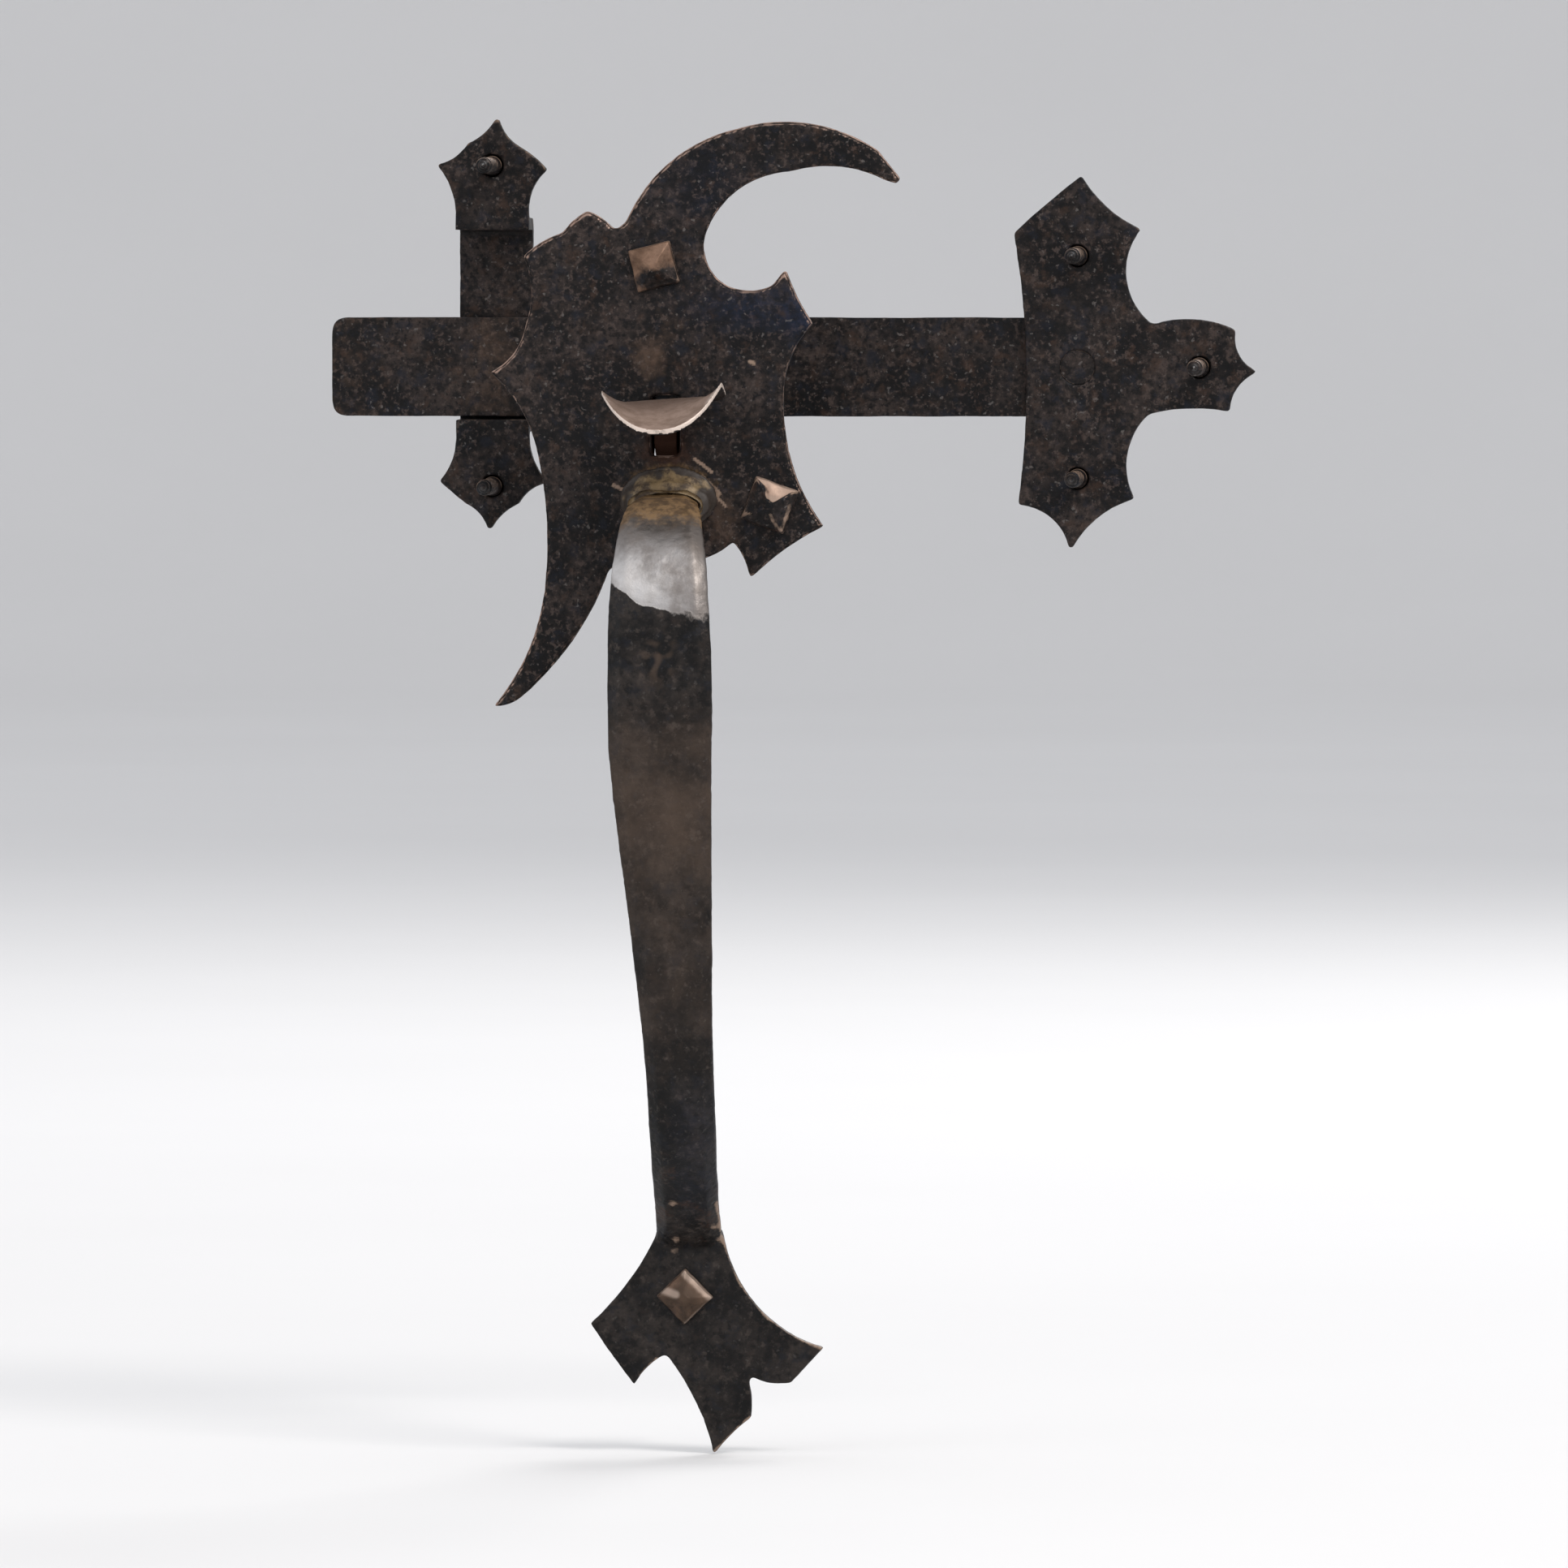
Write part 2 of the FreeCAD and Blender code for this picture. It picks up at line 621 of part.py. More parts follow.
def bar_guide():
    """Strap bent into a bridge over the bar, with a pointed foot above and below."""
    face = DOOR_THICKNESS
    foot = face + GUIDE_STRAP
    crown_inner = face + GUIDE_INNER_DEPTH
    crown = crown_inner + GUIDE_STRAP
    low, high = GUIDE_INNER_LOW, GUIDE_INNER_HIGH
    low_out, high_out = low - GUIDE_STRAP, high + GUIDE_STRAP
    bend = GUIDE_BEND
    inset = bend * (1 - math.sqrt(0.5))
    strap = side_plate(
        (face, high_out + GUIDE_FOOT),
        [
            (foot, high_out + GUIDE_FOOT),
            (foot, high_out),
            (crown - bend, high_out),
            ((crown - inset, high_out - inset), (crown, high_out - bend)),
            (crown, low_out + bend),
            ((crown - inset, low_out + inset), (crown - bend, low_out)),
            (foot, low_out),
            (foot, low_out - GUIDE_FOOT),
            (face, low_out - GUIDE_FOOT),
            (face, low),
            (crown_inner, low),
            (crown_inner, high),
            (face, high),
        ],
        GUIDE_X - 2 * GUIDE_HALF,
        GUIDE_X + 2 * GUIDE_HALF,
    )
    x = GUIDE_X
    half = GUIDE_HALF
    steps = [
        (x - half, high_out),
        ((x - half - 1.0, high_out + 6.0), (x - half - 5.0, high_out + 12.5)),
        ((x - half - 0.5, high_out + 14.0), (x - half + 3.0, high_out + 17.5)),
        ((x - 2.0, high_out + 20.0), (x + 1.5, high_out + GUIDE_FOOT)),
        ((x + 4.0, high_out + 19.0), (x + half - 2.0, high_out + 16.5)),
        ((x + half + 1.0, high_out + 14.5), (x + half + 4.5, high_out + 11.0)),
        ((x + half + 0.8, high_out + 6.0), (x + half, high_out)),
        (x + half, low_out),
        ((x + half + 1.0, low_out - 6.0), (x + half + 5.0, low_out - 12.0)),
        ((x + half, low_out - 14.0), (x + half - 2.5, low_out - 17.0)),
        ((x + 2.5, low_out - 19.5), (x - 1.0, low_out - GUIDE_FOOT)),
        ((x - 3.5, low_out - 19.0), (x - half + 2.5, low_out - 17.0)),
        ((x - half - 0.5, low_out - 14.5), (x - half - 4.0, low_out - 11.5)),
        ((x - half - 0.8, low_out - 6.0), (x - half, low_out)),
    ]
    start = (x - half, low_out)
    y_low, y_high = face - TOOL_MARGIN, crown + TOOL_MARGIN
    front = thorned_sheet(start, steps, y_low, y_high, INNER_THORN_RADIUS)
    holes = screw_holes(GUIDE_SCREWS, face, foot)
    return strap.common(front).cut(holes)


# ---------------------------------------------------------------- the whole latch

def build():
    """Every sub-part by its node name."""
    handle = grip()
    nodes = {
        "handle_plate": handle_plate(),
        "grip": handle,
        "braze_collar": braze_collar(handle),
        "thumb_lever": thumb_lever(),
        "pivot_cheek_left": pivot_cheek(-1),
        "pivot_cheek_right": pivot_cheek(1),
        "pivot_pin": pivot_pin(),
        "latch_bar": latch_bar(),
        "bar_plate": bar_plate(),
        "bar_rivet": bar_rivet(),
        "spacer_washer": spacer_washer(),
        "head_washer": head_washer(),
        "bar_guide": bar_guide(),
    }
    for name, (x, z, head, turn) in PLATE_SCREWS.items():
        nodes[name] = pyramid_screw(x, z, head, turn, PLATE_THICKNESS, PLATE_SCREW_LENGTH)
    for name, (x, z, head, turn) in BAR_PLATE_SCREWS.items():
        nodes[name] = inner_screw(x, z, head, turn, PLATE_THICKNESS)
    for name, (x, z, head, turn) in GUIDE_SCREWS.items():
        nodes[name] = inner_screw(x, z, head, turn, GUIDE_STRAP)
    return nodes


def main():
    os.makedirs("parts", exist_ok=True)
    for name, shape in build().items():
        solid_count = len(shape.Solids)
        print(f"{name}: {solid_count} solid, {shape.Volume:.0f} mm3, valid {shape.isValid()}")
        shape.exportStep(f"parts/{name}.step")


main()
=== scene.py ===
"""Looks of a hand-wrought thumb latch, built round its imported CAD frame.

Lengths are in millimetres, which MM turns into metres. Only the stage, the lights and the camera
are given in metres. The frame is the CAD one: +X right as seen from outside the door, +Y into the
door, +Z up, with the origin in the lever slot.
"""

import math

import bpy
import numpy as np
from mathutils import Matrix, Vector, kdtree, noise


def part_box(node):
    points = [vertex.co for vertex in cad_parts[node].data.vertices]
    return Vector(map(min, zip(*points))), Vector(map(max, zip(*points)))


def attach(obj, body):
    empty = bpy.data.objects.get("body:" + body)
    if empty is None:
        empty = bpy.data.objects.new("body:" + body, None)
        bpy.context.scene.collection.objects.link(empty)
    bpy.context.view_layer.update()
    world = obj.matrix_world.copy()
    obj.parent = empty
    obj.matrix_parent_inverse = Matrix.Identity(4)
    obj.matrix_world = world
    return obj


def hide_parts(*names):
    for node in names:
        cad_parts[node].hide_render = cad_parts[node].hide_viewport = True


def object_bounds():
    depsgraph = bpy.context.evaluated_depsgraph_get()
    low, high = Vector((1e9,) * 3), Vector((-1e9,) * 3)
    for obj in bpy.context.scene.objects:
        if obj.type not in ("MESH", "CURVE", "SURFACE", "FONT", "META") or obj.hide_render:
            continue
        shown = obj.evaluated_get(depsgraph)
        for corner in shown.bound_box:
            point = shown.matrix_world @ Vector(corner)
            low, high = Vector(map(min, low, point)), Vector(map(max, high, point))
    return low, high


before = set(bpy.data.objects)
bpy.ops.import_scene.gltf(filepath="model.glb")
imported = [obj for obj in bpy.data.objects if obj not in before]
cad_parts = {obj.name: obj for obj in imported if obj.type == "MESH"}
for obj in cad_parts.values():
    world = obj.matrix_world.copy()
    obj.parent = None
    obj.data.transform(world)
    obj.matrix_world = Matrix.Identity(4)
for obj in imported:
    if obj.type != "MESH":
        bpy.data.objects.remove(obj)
cad_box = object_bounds()

MM = 0.001

# Share of the way to its neighbours that a point moves in one round of softening
SOFTEN_SHARE = 0.5

# Bend per millimetre at which a crest starts to be rubbed bright and at which it is fully so, on
# plates and bars and on small pieces, and the share of that brightness which crests facing down
# get; crests facing up get all of it, so there it is rubbed wear and a painted highlight as well
WEAR_FLAT = 0.12
WEAR_FULL = 0.6
SMALL_WEAR_FLAT = 0.5
SMALL_WEAR_FULL = 1.8
DOWNWARD_CREST_SHARE = 0.45

# Bend at which an edge starts to be too thin for the hammer and at which it is left alone
SHARP_BEND = 0.5
SHARPEST_BEND = 1.5

# Pieces with a voxel this large are plates and bars; smaller ones have sharper edges
PLATE_VOXEL = 0.45

# Hammered pieces: node, body, slot, voxel, softening rounds, hammer mark spacing and depth, pitting
FORGINGS = [
    ("handle_plate", "door_set", "plate_iron", 0.50, 4, 8.0, 0.16, 0.07),
    ("grip", "door_set", "grip_iron", 0.50, 5, 9.0, 0.22, 0.06),
    ("thumb_lever", "lever", "lever_iron", 0.32, 3, 5.0, 0.08, 0.03),
    ("pivot_cheek_left", "door_set", "bar_iron", 0.30, 2, 4.0, 0.06, 0.04),
    ("pivot_cheek_right", "door_set", "bar_iron", 0.30, 2, 4.0, 0.06, 0.04),
    ("latch_bar", "bar", "bar_iron", 0.50, 4, 9.0, 0.16, 0.06),
    ("bar_plate", "door_set", "bar_iron", 0.50, 4, 7.5, 0.16, 0.06),
    ("bar_guide", "door_set", "bar_iron", 0.45, 4, 7.5, 0.16, 0.06),
    ("bar_rivet", "door_set", "screw_iron", 0.28, 3, 3.6, 0.14, 0.05),
    ("spacer_washer", "door_set", "pin_steel", 0.28, 2, 4.0, 0.04, 0.03),
    ("head_washer", "door_set", "pin_steel", 0.28, 2, 4.0, 0.05, 0.03),
]

# Hammering: how far a blow reaches and how long the swells under the blows are, both in spacings,
# and the shares of the depth that the ridges between blows and the swells take
BLOW_REACH = 0.8
SWELL_REACH = 3.2
RIDGE_SHARE = 0.35
SWELL_SHARE = 0.5

# Pits in the scale, and the finer roughness with its share of the pitting
PIT_SIZE = 1.9
ROUGH_SIZE = 1.1
ROUGH_SHARE = 0.4

# Pieces that bear on each other round the bar's rivet, and the radii between which their hammering
# starts
SEATED = ["latch_bar", "bar_plate", "spacer_washer", "head_washer"]
SEAT_INNER = 8.6
SEAT_OUTER = 11.0

# Depth into the door of the washer face that the rivet's head sits on, and how far from it the
# hammering of the rivet starts and is full
HEAD_SEAT = 49.3
HEAD_FADE = 0.3
HEAD_FULL = 0.9

# Bores of the moving pieces: the node inside, the axis, the radius and the length
BORES = {
    "thumb_lever": ("pivot_pin", 0, 2.06, 5.8),
    "latch_bar": ("bar_rivet", 1, 3.06, 40.0),
}

# Plates whose outline is beaten thin on one face, and how far in and how deep
BEVELS = {"handle_plate": -1, "bar_plate": 1}
BEVEL_ROUNDS = 6
BEVEL_FADE = 0.02
BEVEL_DEPTH = 0.8

# Braze collar: its voxel, its softening rounds and how far its lip is drawn in
COLLAR_VOXEL = 0.3
COLLAR_ROUNDS = 6
COLLAR_LIP = 1.5

# Pivot pin
PIN_SIDES = 64
PIN_ROUNDING = 0.6
PIN_END_RINGS = 6
PIN_STEM_RINGS = 40

# Screws, from the pyramid head's blunt tip down: the head, the plain neck in the plate, and the
# shank with its thread and point
SCREW_NODES = [
    "plate_screw_top",
    "plate_screw_side",
    "foot_screw",
    "bar_plate_screw_upper",
    "bar_plate_screw_lower",
    "bar_plate_screw_end",
    "guide_screw_upper",
    "guide_screw_lower",
]
SCREW_SIDES = 96
HEAD_TIP = 0.9
HEAD_CONE = 2.8
HEAD_RIM = 1.8
NECK_RADIUS = 2.3
PLATE_THICKNESS = 3.0
GUIDE_THICKNESS = 3.5
SHANK_RADIUS = 2.0
POINT_LENGTH = 5.0
POINT_SHARE = 0.06
THREAD_PITCH = 1.9
THREAD_ROOT = 0.72
THREAD_FLANK = 0.36
THREAD_START = 2.0
THREAD_RISE = 2.0
THREAD_STEP = 0.16

# Rings of points along each stretch of a screw's head and neck
CONE_RINGS = 13
RIM_RINGS = 6
UNDER_RINGS = 5
NECK_RINGS = 7

# Hammering of a screw's head: its softening rounds, dents and roughness, and the depths between
# which it ends
HEAD_ROUNDS = 2
DENT_SPACING = 3.6
DENT_DEPTH = 0.26
LUMP_SIZE = 2.6
LUMP_DEPTH = 0.2
HAMMERED_TO = (3.6, 4.6)


# ---------------------------------------------------------------- surfaces as arrays

class Surface:
    """A mesh's points, edges and neighbours as arrays, in millimetres."""

    def __init__(self, mesh):
        self.mesh = mesh
        flat = np.zeros(len(mesh.vertices) * 3)
        mesh.vertices.foreach_get("co", flat)
        self.points = flat.reshape(-1, 3) / MM
        ends = np.zeros(len(mesh.edges) * 2, np.int64)
        mesh.edges.foreach_get("vertices", ends)
        self.edges = ends.reshape(-1, 2)
        self.degree = np.bincount(self.edges.ravel(), minlength=len(self.points))

    def around(self, values):
        """Mean of each point's neighbours."""
        if values.ndim > 1:
            return np.stack([self.around(column) for column in values.T], axis=1)
        first, second = self.edges.T
        total = np.bincount(first, values[second], len(values))
        total += np.bincount(second, values[first], len(values))
        return total / self.degree

    def soften(self, rounds):
        """Draws every point towards its neighbours, which rounds the edges."""
        for _ in range(rounds):
            self.points += SOFTEN_SHARE * (self.around(self.points) - self.points)
        self.write()

    def write(self):
        """Puts the points back into the mesh."""
        self.mesh.vertices.foreach_set("co", (self.points * MM).astype(np.float32).ravel())
        self.mesh.update()

    def normals(self):
        """The way that the surface looks at every point."""
        flat = np.zeros(len(self.points) * 3)
        self.mesh.vertices.foreach_get("normal", flat)
        return flat.reshape(-1, 3)

    def outward(self, low, high):
        """1 where the surface looks out of the door, and 0 where it looks away."""
        return ease(-self.normals()[:, 1], low, high)

    def sink(self, depth):
        """Moves every point inwards by its own depth."""
        self.points -= self.normals() * depth[:, None]
        self.write()

    def curvature(self):
        """Bend of the surface per millimetre: above 0 on a crest and below 0 in a hollow."""
        spans = self.points[self.edges[:, 0]] - self.points[self.edges[:, 1]]
        step = np.linalg.norm(spans, axis=1).mean()
        drop = ((self.points - self.around(self.points)) * self.normals()).sum(axis=1)
        bend = 2 * drop / step ** 2
        for _ in range(2):
            bend = 0.5 * bend + 0.5 * self.around(bend)
        return bend

    def sharpness(self):
        """1 on thin tips and sharp edges, where there is no metal to spare, and 0 on flat faces."""
        return ease(self.curvature(), SHARP_BEND, SHARPEST_BEND)

    def paint(self, name, values):
        """Stores a number from 0 to 1 at every point, for the materials."""
        layer = self.mesh.attributes.new(name, "FLOAT", "POINT")
        layer.data.foreach_set("value", np.clip(values, 0, 1).astype(np.float32))


def ease(values, low, high):
    """0 below low, 1 above high, and a smooth slope between them."""
    share = np.clip((values - low) / (high - low), 0, 1)
    return share * share * (3 - 2 * share)


def grain(points, size, seed):
    """Smooth noise from -1 to 1, with swells of about this size."""
    shift = np.array([7.3, 3.1, 5.7]) * seed
    return np.array([noise.noise(place) for place in (points / size + shift).tolist()])


def hammer_marks(points, spacing, seed):
    """1 at the bottom of each hammer blow, 0 on the ridges between them."""
    dice = np.random.default_rng(seed)
    low = points.min(0)
    size = points.max(0) - low
    counts = np.maximum(1, np.round(size / spacing)).astype(int)
    blows = kdtree.KDTree(int(counts.prod()))
    for number, cell in enumerate(np.ndindex(*counts)):
        blows.insert(low + (np.array(cell) + dice.uniform(0, 1, 3)) * size / counts, number)
    blows.balance()
    distance = np.array([blows.find(place)[2] for place in points.tolist()])
    return 1 - np.clip(distance / (BLOW_REACH * spacing), 0, 1) ** 2


# ---------------------------------------------------------------- marks on the door's plane

def near_spot(points, x, z, half_x, half_z):
    """1 at a place on the door's plane, falling to 0 about it."""
    return np.exp(-(((points[:, 0] - x) / half_x) ** 2 + ((points[:, 2] - z) / half_z) ** 2))


def near_spots(points, spots):
    """Sum of spots, each given as its strength, its place (x, z) and its two half sizes."""
    return sum(strength * near_spot(points, *spot) for strength, *spot in spots)


def near_line(points, start, end, half_width):
    """1 along a line on the door's plane, falling to 0 at half_width from it."""
    flat = points[:, [0, 2]]
    start, end = np.array(start), np.array(end)
    run = end - start
    along = np.clip(((flat - start) @ run) / (run @ run), 0, 1)
    gap = np.linalg.norm(flat - start - along[:, None] * run, axis=1)
    return 1 - ease(gap, 0.3 * half_width, half_width)


def near_lines(points, lines):
    """Sum of lines, each given as its two ends (x, z) and its half width."""
    return sum(near_line(points, *line) for line in lines)


def near_path(points, path, half_width):
    """1 along a path of straight lines through its points (x, z), falling to 0 beside it."""
    legs = [near_line(points, start, end, half_width) for start, end in zip(path, path[1:])]
    return np.max(legs, axis=0)


# ---------------------------------------------------------------- forged pieces

def remeshed(node, voxel):
    """A new object with an even copy of a CAD node's mesh."""
    piece = bpy.data.objects.new(node + "_forged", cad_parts[node].data.copy())
    bpy.context.scene.collection.objects.link(piece)
    remesh = piece.modifiers.new("even", "REMESH")
    remesh.mode = "VOXEL"
    remesh.voxel_size = voxel * MM
    bpy.context.view_layer.update()
    evaluated = piece.evaluated_get(bpy.context.evaluated_depsgraph_get())
    mesh = bpy.data.meshes.new_from_object(evaluated)
    piece.modifiers.clear()
    piece.data = mesh
    for face in mesh.polygons:
        face.use_smooth = True
    return piece


def ream(surface, centre, axis, radius, length):
    """Keeps a bore clear: points near its wall move out to its radius."""
    across = [i for i in range(3) if i != axis]
    offset = surface.points[:, across] - np.array(centre)[across]
    distance = np.linalg.norm(offset, axis=1)
    beside = np.abs(surface.points[:, axis] - centre[axis]) < length / 2
    near = beside & (distance < radius) & (distance > 0.5 * radius)
    surface.points[np.ix_(near, across)] += (
        offset[near] * (radius / distance[near] - 1)[:, None]
    )
    surface.write()


def box_mm(node):
    """Lowest and highest corners of a CAD node, in millimetres."""
    low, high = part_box(node)
    return np.array(low) / MM, np.array(high) / MM


def node_centre(node):
    """Middle of a CAD node's box."""
    low, high = box_mm(node)
    return (low + high) / 2


def forge(node, voxel, rounds, spacing, depth, pitting, seed):
    """A hammered copy of a CAD node. The metal only ever sinks, so that moving fits stay clear."""
    piece = remeshed(node, voxel)
    surface = Surface(piece.data)
    surface.soften(rounds)
    points = surface.points
    marks = hammer_marks(points, spacing, seed)
    sunk = depth * (1 - marks) * RIDGE_SHARE + depth * marks
    sunk += SWELL_SHARE * depth * (1 + grain(points, SWELL_REACH * spacing, seed))
    sunk += pitting * ease(grain(points, PIT_SIZE, seed + 1), 0.15, 0.6)
    sunk += ROUGH_SHARE * pitting * (1 + grain(points, ROUGH_SIZE, seed + 2))
    if node in SEATED:
        offset = points - node_centre("bar_rivet")
        sunk *= ease(np.hypot(offset[:, 0], offset[:, 2]), SEAT_INNER, SEAT_OUTER)
    if node == "bar_rivet":
        sunk *= ease(np.abs(points[:, 1] - HEAD_SEAT), HEAD_FADE, HEAD_FULL)
    surface.sink(sunk * (1 - surface.sharpness()))
    return piece, surface


def bevel(surface, side):
    """Beats one face of a plate down along its outline, as the smith draws the edge thin.

    side is -1 for the face that looks out of the door and 1 for the one that looks into it.
    """
    beside = 1 - ease(np.abs(surface.normals()[:, 1]), 0.3, 0.8)
    for _ in range(BEVEL_ROUNDS):
        beside = np.maximum(beside, surface.around(beside) - BEVEL_FADE)
    face = ease(side * surface.normals()[:, 1], 0.2, 0.7)
    surface.sink(BEVEL_DEPTH * beside * face * (1 - surface.sharpness()))


def paint_wear(surface, flat=SMALL_WEAR_FLAT, full=SMALL_WEAR_FULL):
    """Marks rubbed crests, with a painted highlight where they face up, and hollows, made darker."""
    bend = surface.curvature()
    # Crests facing up get a painted highlight of the light from above, on top of the rubbed wear
    upwards = ease(surface.normals()[:, 2], -0.3, 0.5)
    rubbed = DOWNWARD_CREST_SHARE + (1 - DOWNWARD_CREST_SHARE) * upwards
    surface.paint("crest", ease(bend, flat, full) * rubbed)
    # Hollows, found from the bend alone, are made darker in the materials
    surface.paint("hollow", ease(-bend, 0.02, 0.35))


# Spots on the plate (strength, x, z and two half sizes), and file marks beside the braze
PLATE_SPOTS = {
    "worn": [
        (0.7, -3.5, 10.5, 5.0, 6.0),
        (0.35, 2.0, 20.0, 5.0, 5.0),
        (0.55, 13.0, -27.0, 5.5, 9.0),
    ],
    "rust": [
        (0.4, 12.5, -31.0, 6.5, 8.0),
        (0.9, 0.0, -12.0, 8.5, 5.0),
    ],
    "blue": [
        (0.85, 20.0, 22.5, 13.0, 4.5),
        (0.85, 33.0, 20.0, 5.0, 6.0),
        (0.25, 9.0, 50.0, 12.0, 8.0),
    ],
    "brass": [(1.15, 1.6, -20.4, 11.0, 6.2)],
}
# Painted shadow under the thumb press, beside the slot: strength, x, z and two half sizes
PRESS_SHADOW = [(0.6, 0.6, -8.5, 5.0, 5.5)]
FILE_MARKS = [
    ((7.0, -13.4), (11.0, -16.4), 0.8),
    ((8.6, -17.6), (12.8, -21.4), 1.0),
    ((10.6, -20.6), (14.4, -24.6), 0.7),
    ((-12.2, -19.6), (-7.6, -21.8), 0.9),
    ((20.2, 9.6), (20.9, 9.2), 1.0),
]


def paint_plate(surface):
    """Brown rubbing above the press, rust beside the grip, blue tints, painted shadow under the press,
    brass and file marks.
    """
    outward = surface.outward(0.2, 0.6)
    for name, spots in PLATE_SPOTS.items():
        surface.paint(name, near_spots(surface.points, spots) * outward)
    surface.paint("scratch", 0.8 * near_lines(surface.points, FILE_MARKS) * outward)
    # Painted shadow under the press, kept with the soot
    surface.paint("soot_and_shade", near_spots(surface.points, PRESS_SHADOW))


# Lower border of the grip's bare bend: its height, how far it rises at the left and drops at the
# right, and how uneven it is
BEND_BORDER = -48.2
BORDER_RISE = 5.6
BORDER_DROP = 2.0
BORDER_WAVE = 1.6

# Stain on the grip just below the bend
HOLD_STAIN = (1.5, -59.0, 6.0, 7.0)

# Rubbed edges of the foot plate with a painted highlight along them, as paths, and nicks in it
# with their half sizes
FOOT_EDGES = [
    [(13.6, -189.0), (14.6, -198.8), (18.2, -208.0), (24.4, -215.8), (31.0, -220.2), (37.6, -223.4)],
    [(12.0, -248.6), (20.2, -240.6)],
    [(-1.8, -226.8), (-5.4, -230.4)],
]
FOOT_EDGE_WIDTH = 1.6
FOOT_NICKS = [(2.8, -197.8), (13.2, -197.8), (12.2, -194.6), (2.2, -200.6), (3.0, -188.6)]
NICK_SIZE = (1.3, 1.0)


def paint_bend(surface, outward):
    """Bare bright bend at the top of the grip, with a painted reflection: dim at its top and right,
    palest at its lower left; and brass above it.
    """
    points = surface.points
    x, y, z = points.T
    left = 1 - ease(x, -4.0, 6.0)
    uneven = grain(points, 4.0, 31)
    border = BEND_BORDER + BORDER_RISE * (1 - ease(x, -9.0, -1.0)) - BORDER_DROP * ease(x, 6.0, 13.0)
    border += BORDER_WAVE * uneven
    fade = 1.2 + 3.6 * ease(x, 0.0, 10.0)
    bare = ease(z, border - fade, border + fade) * ease(-y, 6.0, 15.0)
    # Painted highlight: a pale band just above the border, at the lower left
    gleam = 0.5 * np.exp(-(((z - border - 3.5) / 4.0) ** 2)) * left
    # Painted reflection: dimmer at the top of the bend and towards its right
    dim = 0.8 * (1 - ease(-z, 29.0, 38.0))
    dim += 0.35 * ease(grain(points, 6.0, 32), 0.0, 0.4) * (1 - left)
    dim += 0.75 * ease(x, 5.0, 11.0)
    brass = ease(z + 2.2 * uneven, -33.5, -28.0) * (1 - 0.5 * ease(-y, 20.0, 28.0))
    surface.paint("bare", bare * outward)
    surface.paint("gleam", gleam)
    surface.paint("dim", dim)
    surface.paint("brass", brass)


def paint_hold(surface, outward):
    """Brown middle of the grip, worn by hands."""
    points = surface.points
    height = points[:, 2]
    drift = -height + 6.0 * grain(points, 8.0, 36)
    middle = ease(drift, 54.0, 92.0) * (1 - 0.35 * ease(-height, 98.0, 122.0))
    middle *= 1 - ease(drift, 142.0, 176.0)
    middle *= 0.82 + 0.3 * grain(points, 9.0, 33)
    middle += 0.9 * near_spot(points, *HOLD_STAIN) * ease(grain(points, 2.6, 34), -0.2, 0.3)
    surface.paint("worn", 0.75 * middle * outward)


def paint_foot(surface):
    """Rust and a blue tint above the foot plate, and rubbed edges with a painted highlight and nicks
    on it.
    """
    points = surface.points
    x, _, z = points.T
    rust = 0.5 * ease(-z, 172.0, 184.0) * (1 - ease(-z, 194.0, 204.0))
    blue = 0.3 * ease(-z, 156.0, 168.0) * (1 - ease(-z, 186.0, 196.0)) * ease(x, 1.0, 8.0)
    # Worn edges of the foot with a painted highlight along them
    edges = [near_path(points, path, FOOT_EDGE_WIDTH) for path in FOOT_EDGES]
    scratch = 0.75 * np.max(edges, axis=0)
    scratch += near_spots(points, [(0.7, *place, *NICK_SIZE) for place in FOOT_NICKS])
    surface.paint("rust", rust * ease(grain(points, 5.0, 35), -0.2, 0.4))
    surface.paint("blue", blue)
    surface.paint("scratch", scratch * surface.outward(-0.2, 0.3))


def paint_grip(surface):
    """Bright bend at the top with a painted reflection, a hand-worn middle, and a foot whose rubbed
    edges carry a painted highlight.
    """
    outward = surface.outward(-0.1, 0.35)
    paint_bend(surface, outward)
    paint_hold(surface, outward)
    paint_foot(surface)


def paint_lever(surface):
    """The press is rubbed bright by thumbs on its upper side and along its rim; painted shade at the
    back and in the slot.
    """
    x, y, z = surface.points.T
    upward = surface.normals()[:, 2]
    in_front = ease(-y, 4.0, 6.5)
    rubbed = ease(upward, 0.15, 0.6)
    rim = 1 - ease(np.abs(upward), 0.5, 0.85)
    rim *= ease(-y, 8.0, 12.0) * ease(upward, -0.5, 0.0)
    rim *= 0.6 + 0.4 * ease(np.abs(x - 1.0), 2.5, 9.0)
    # Painted shade: the press is dimmer towards its back and left, where it meets the plate
    back = 1 - ease(-y + 0.4 * x, 9.0, 25.0)
    # Painted shade on the blade inside the slot and below it, kept in the soot attribute
    in_slot = ease(y, -4.0, -3.0) * (1 - ease(y, 6.0, 12.0))
    surface.paint("bare", in_front * np.maximum(rubbed, rim))
    surface.paint("rim", in_front * rim)
    surface.paint("dim", 0.8 * back)
    surface.paint("soot_and_shade", in_slot * ease(-z, 1.0, 4.0))


def paint_cheek(surface):
    """Painted shade where a cheek faces the blade, in the narrow gap between them."""
    inward = -surface.normals()[:, 0] * np.sign(surface.points[:, 0])
    surface.paint("soot_and_shade", ease(inward, 0.2, 0.8))


def paint_bar(surface):
    """The bar is rubbed by the catch at its free end, and where it slides in the guide."""
    end = ease(-surface.points[:, 0], 66.0, 78.0)
    guide = near_spot(surface.points, -45.0, 8.0, 11.0, 60.0)
    surface.paint("worn", 0.25 * end + 0.4 * guide)


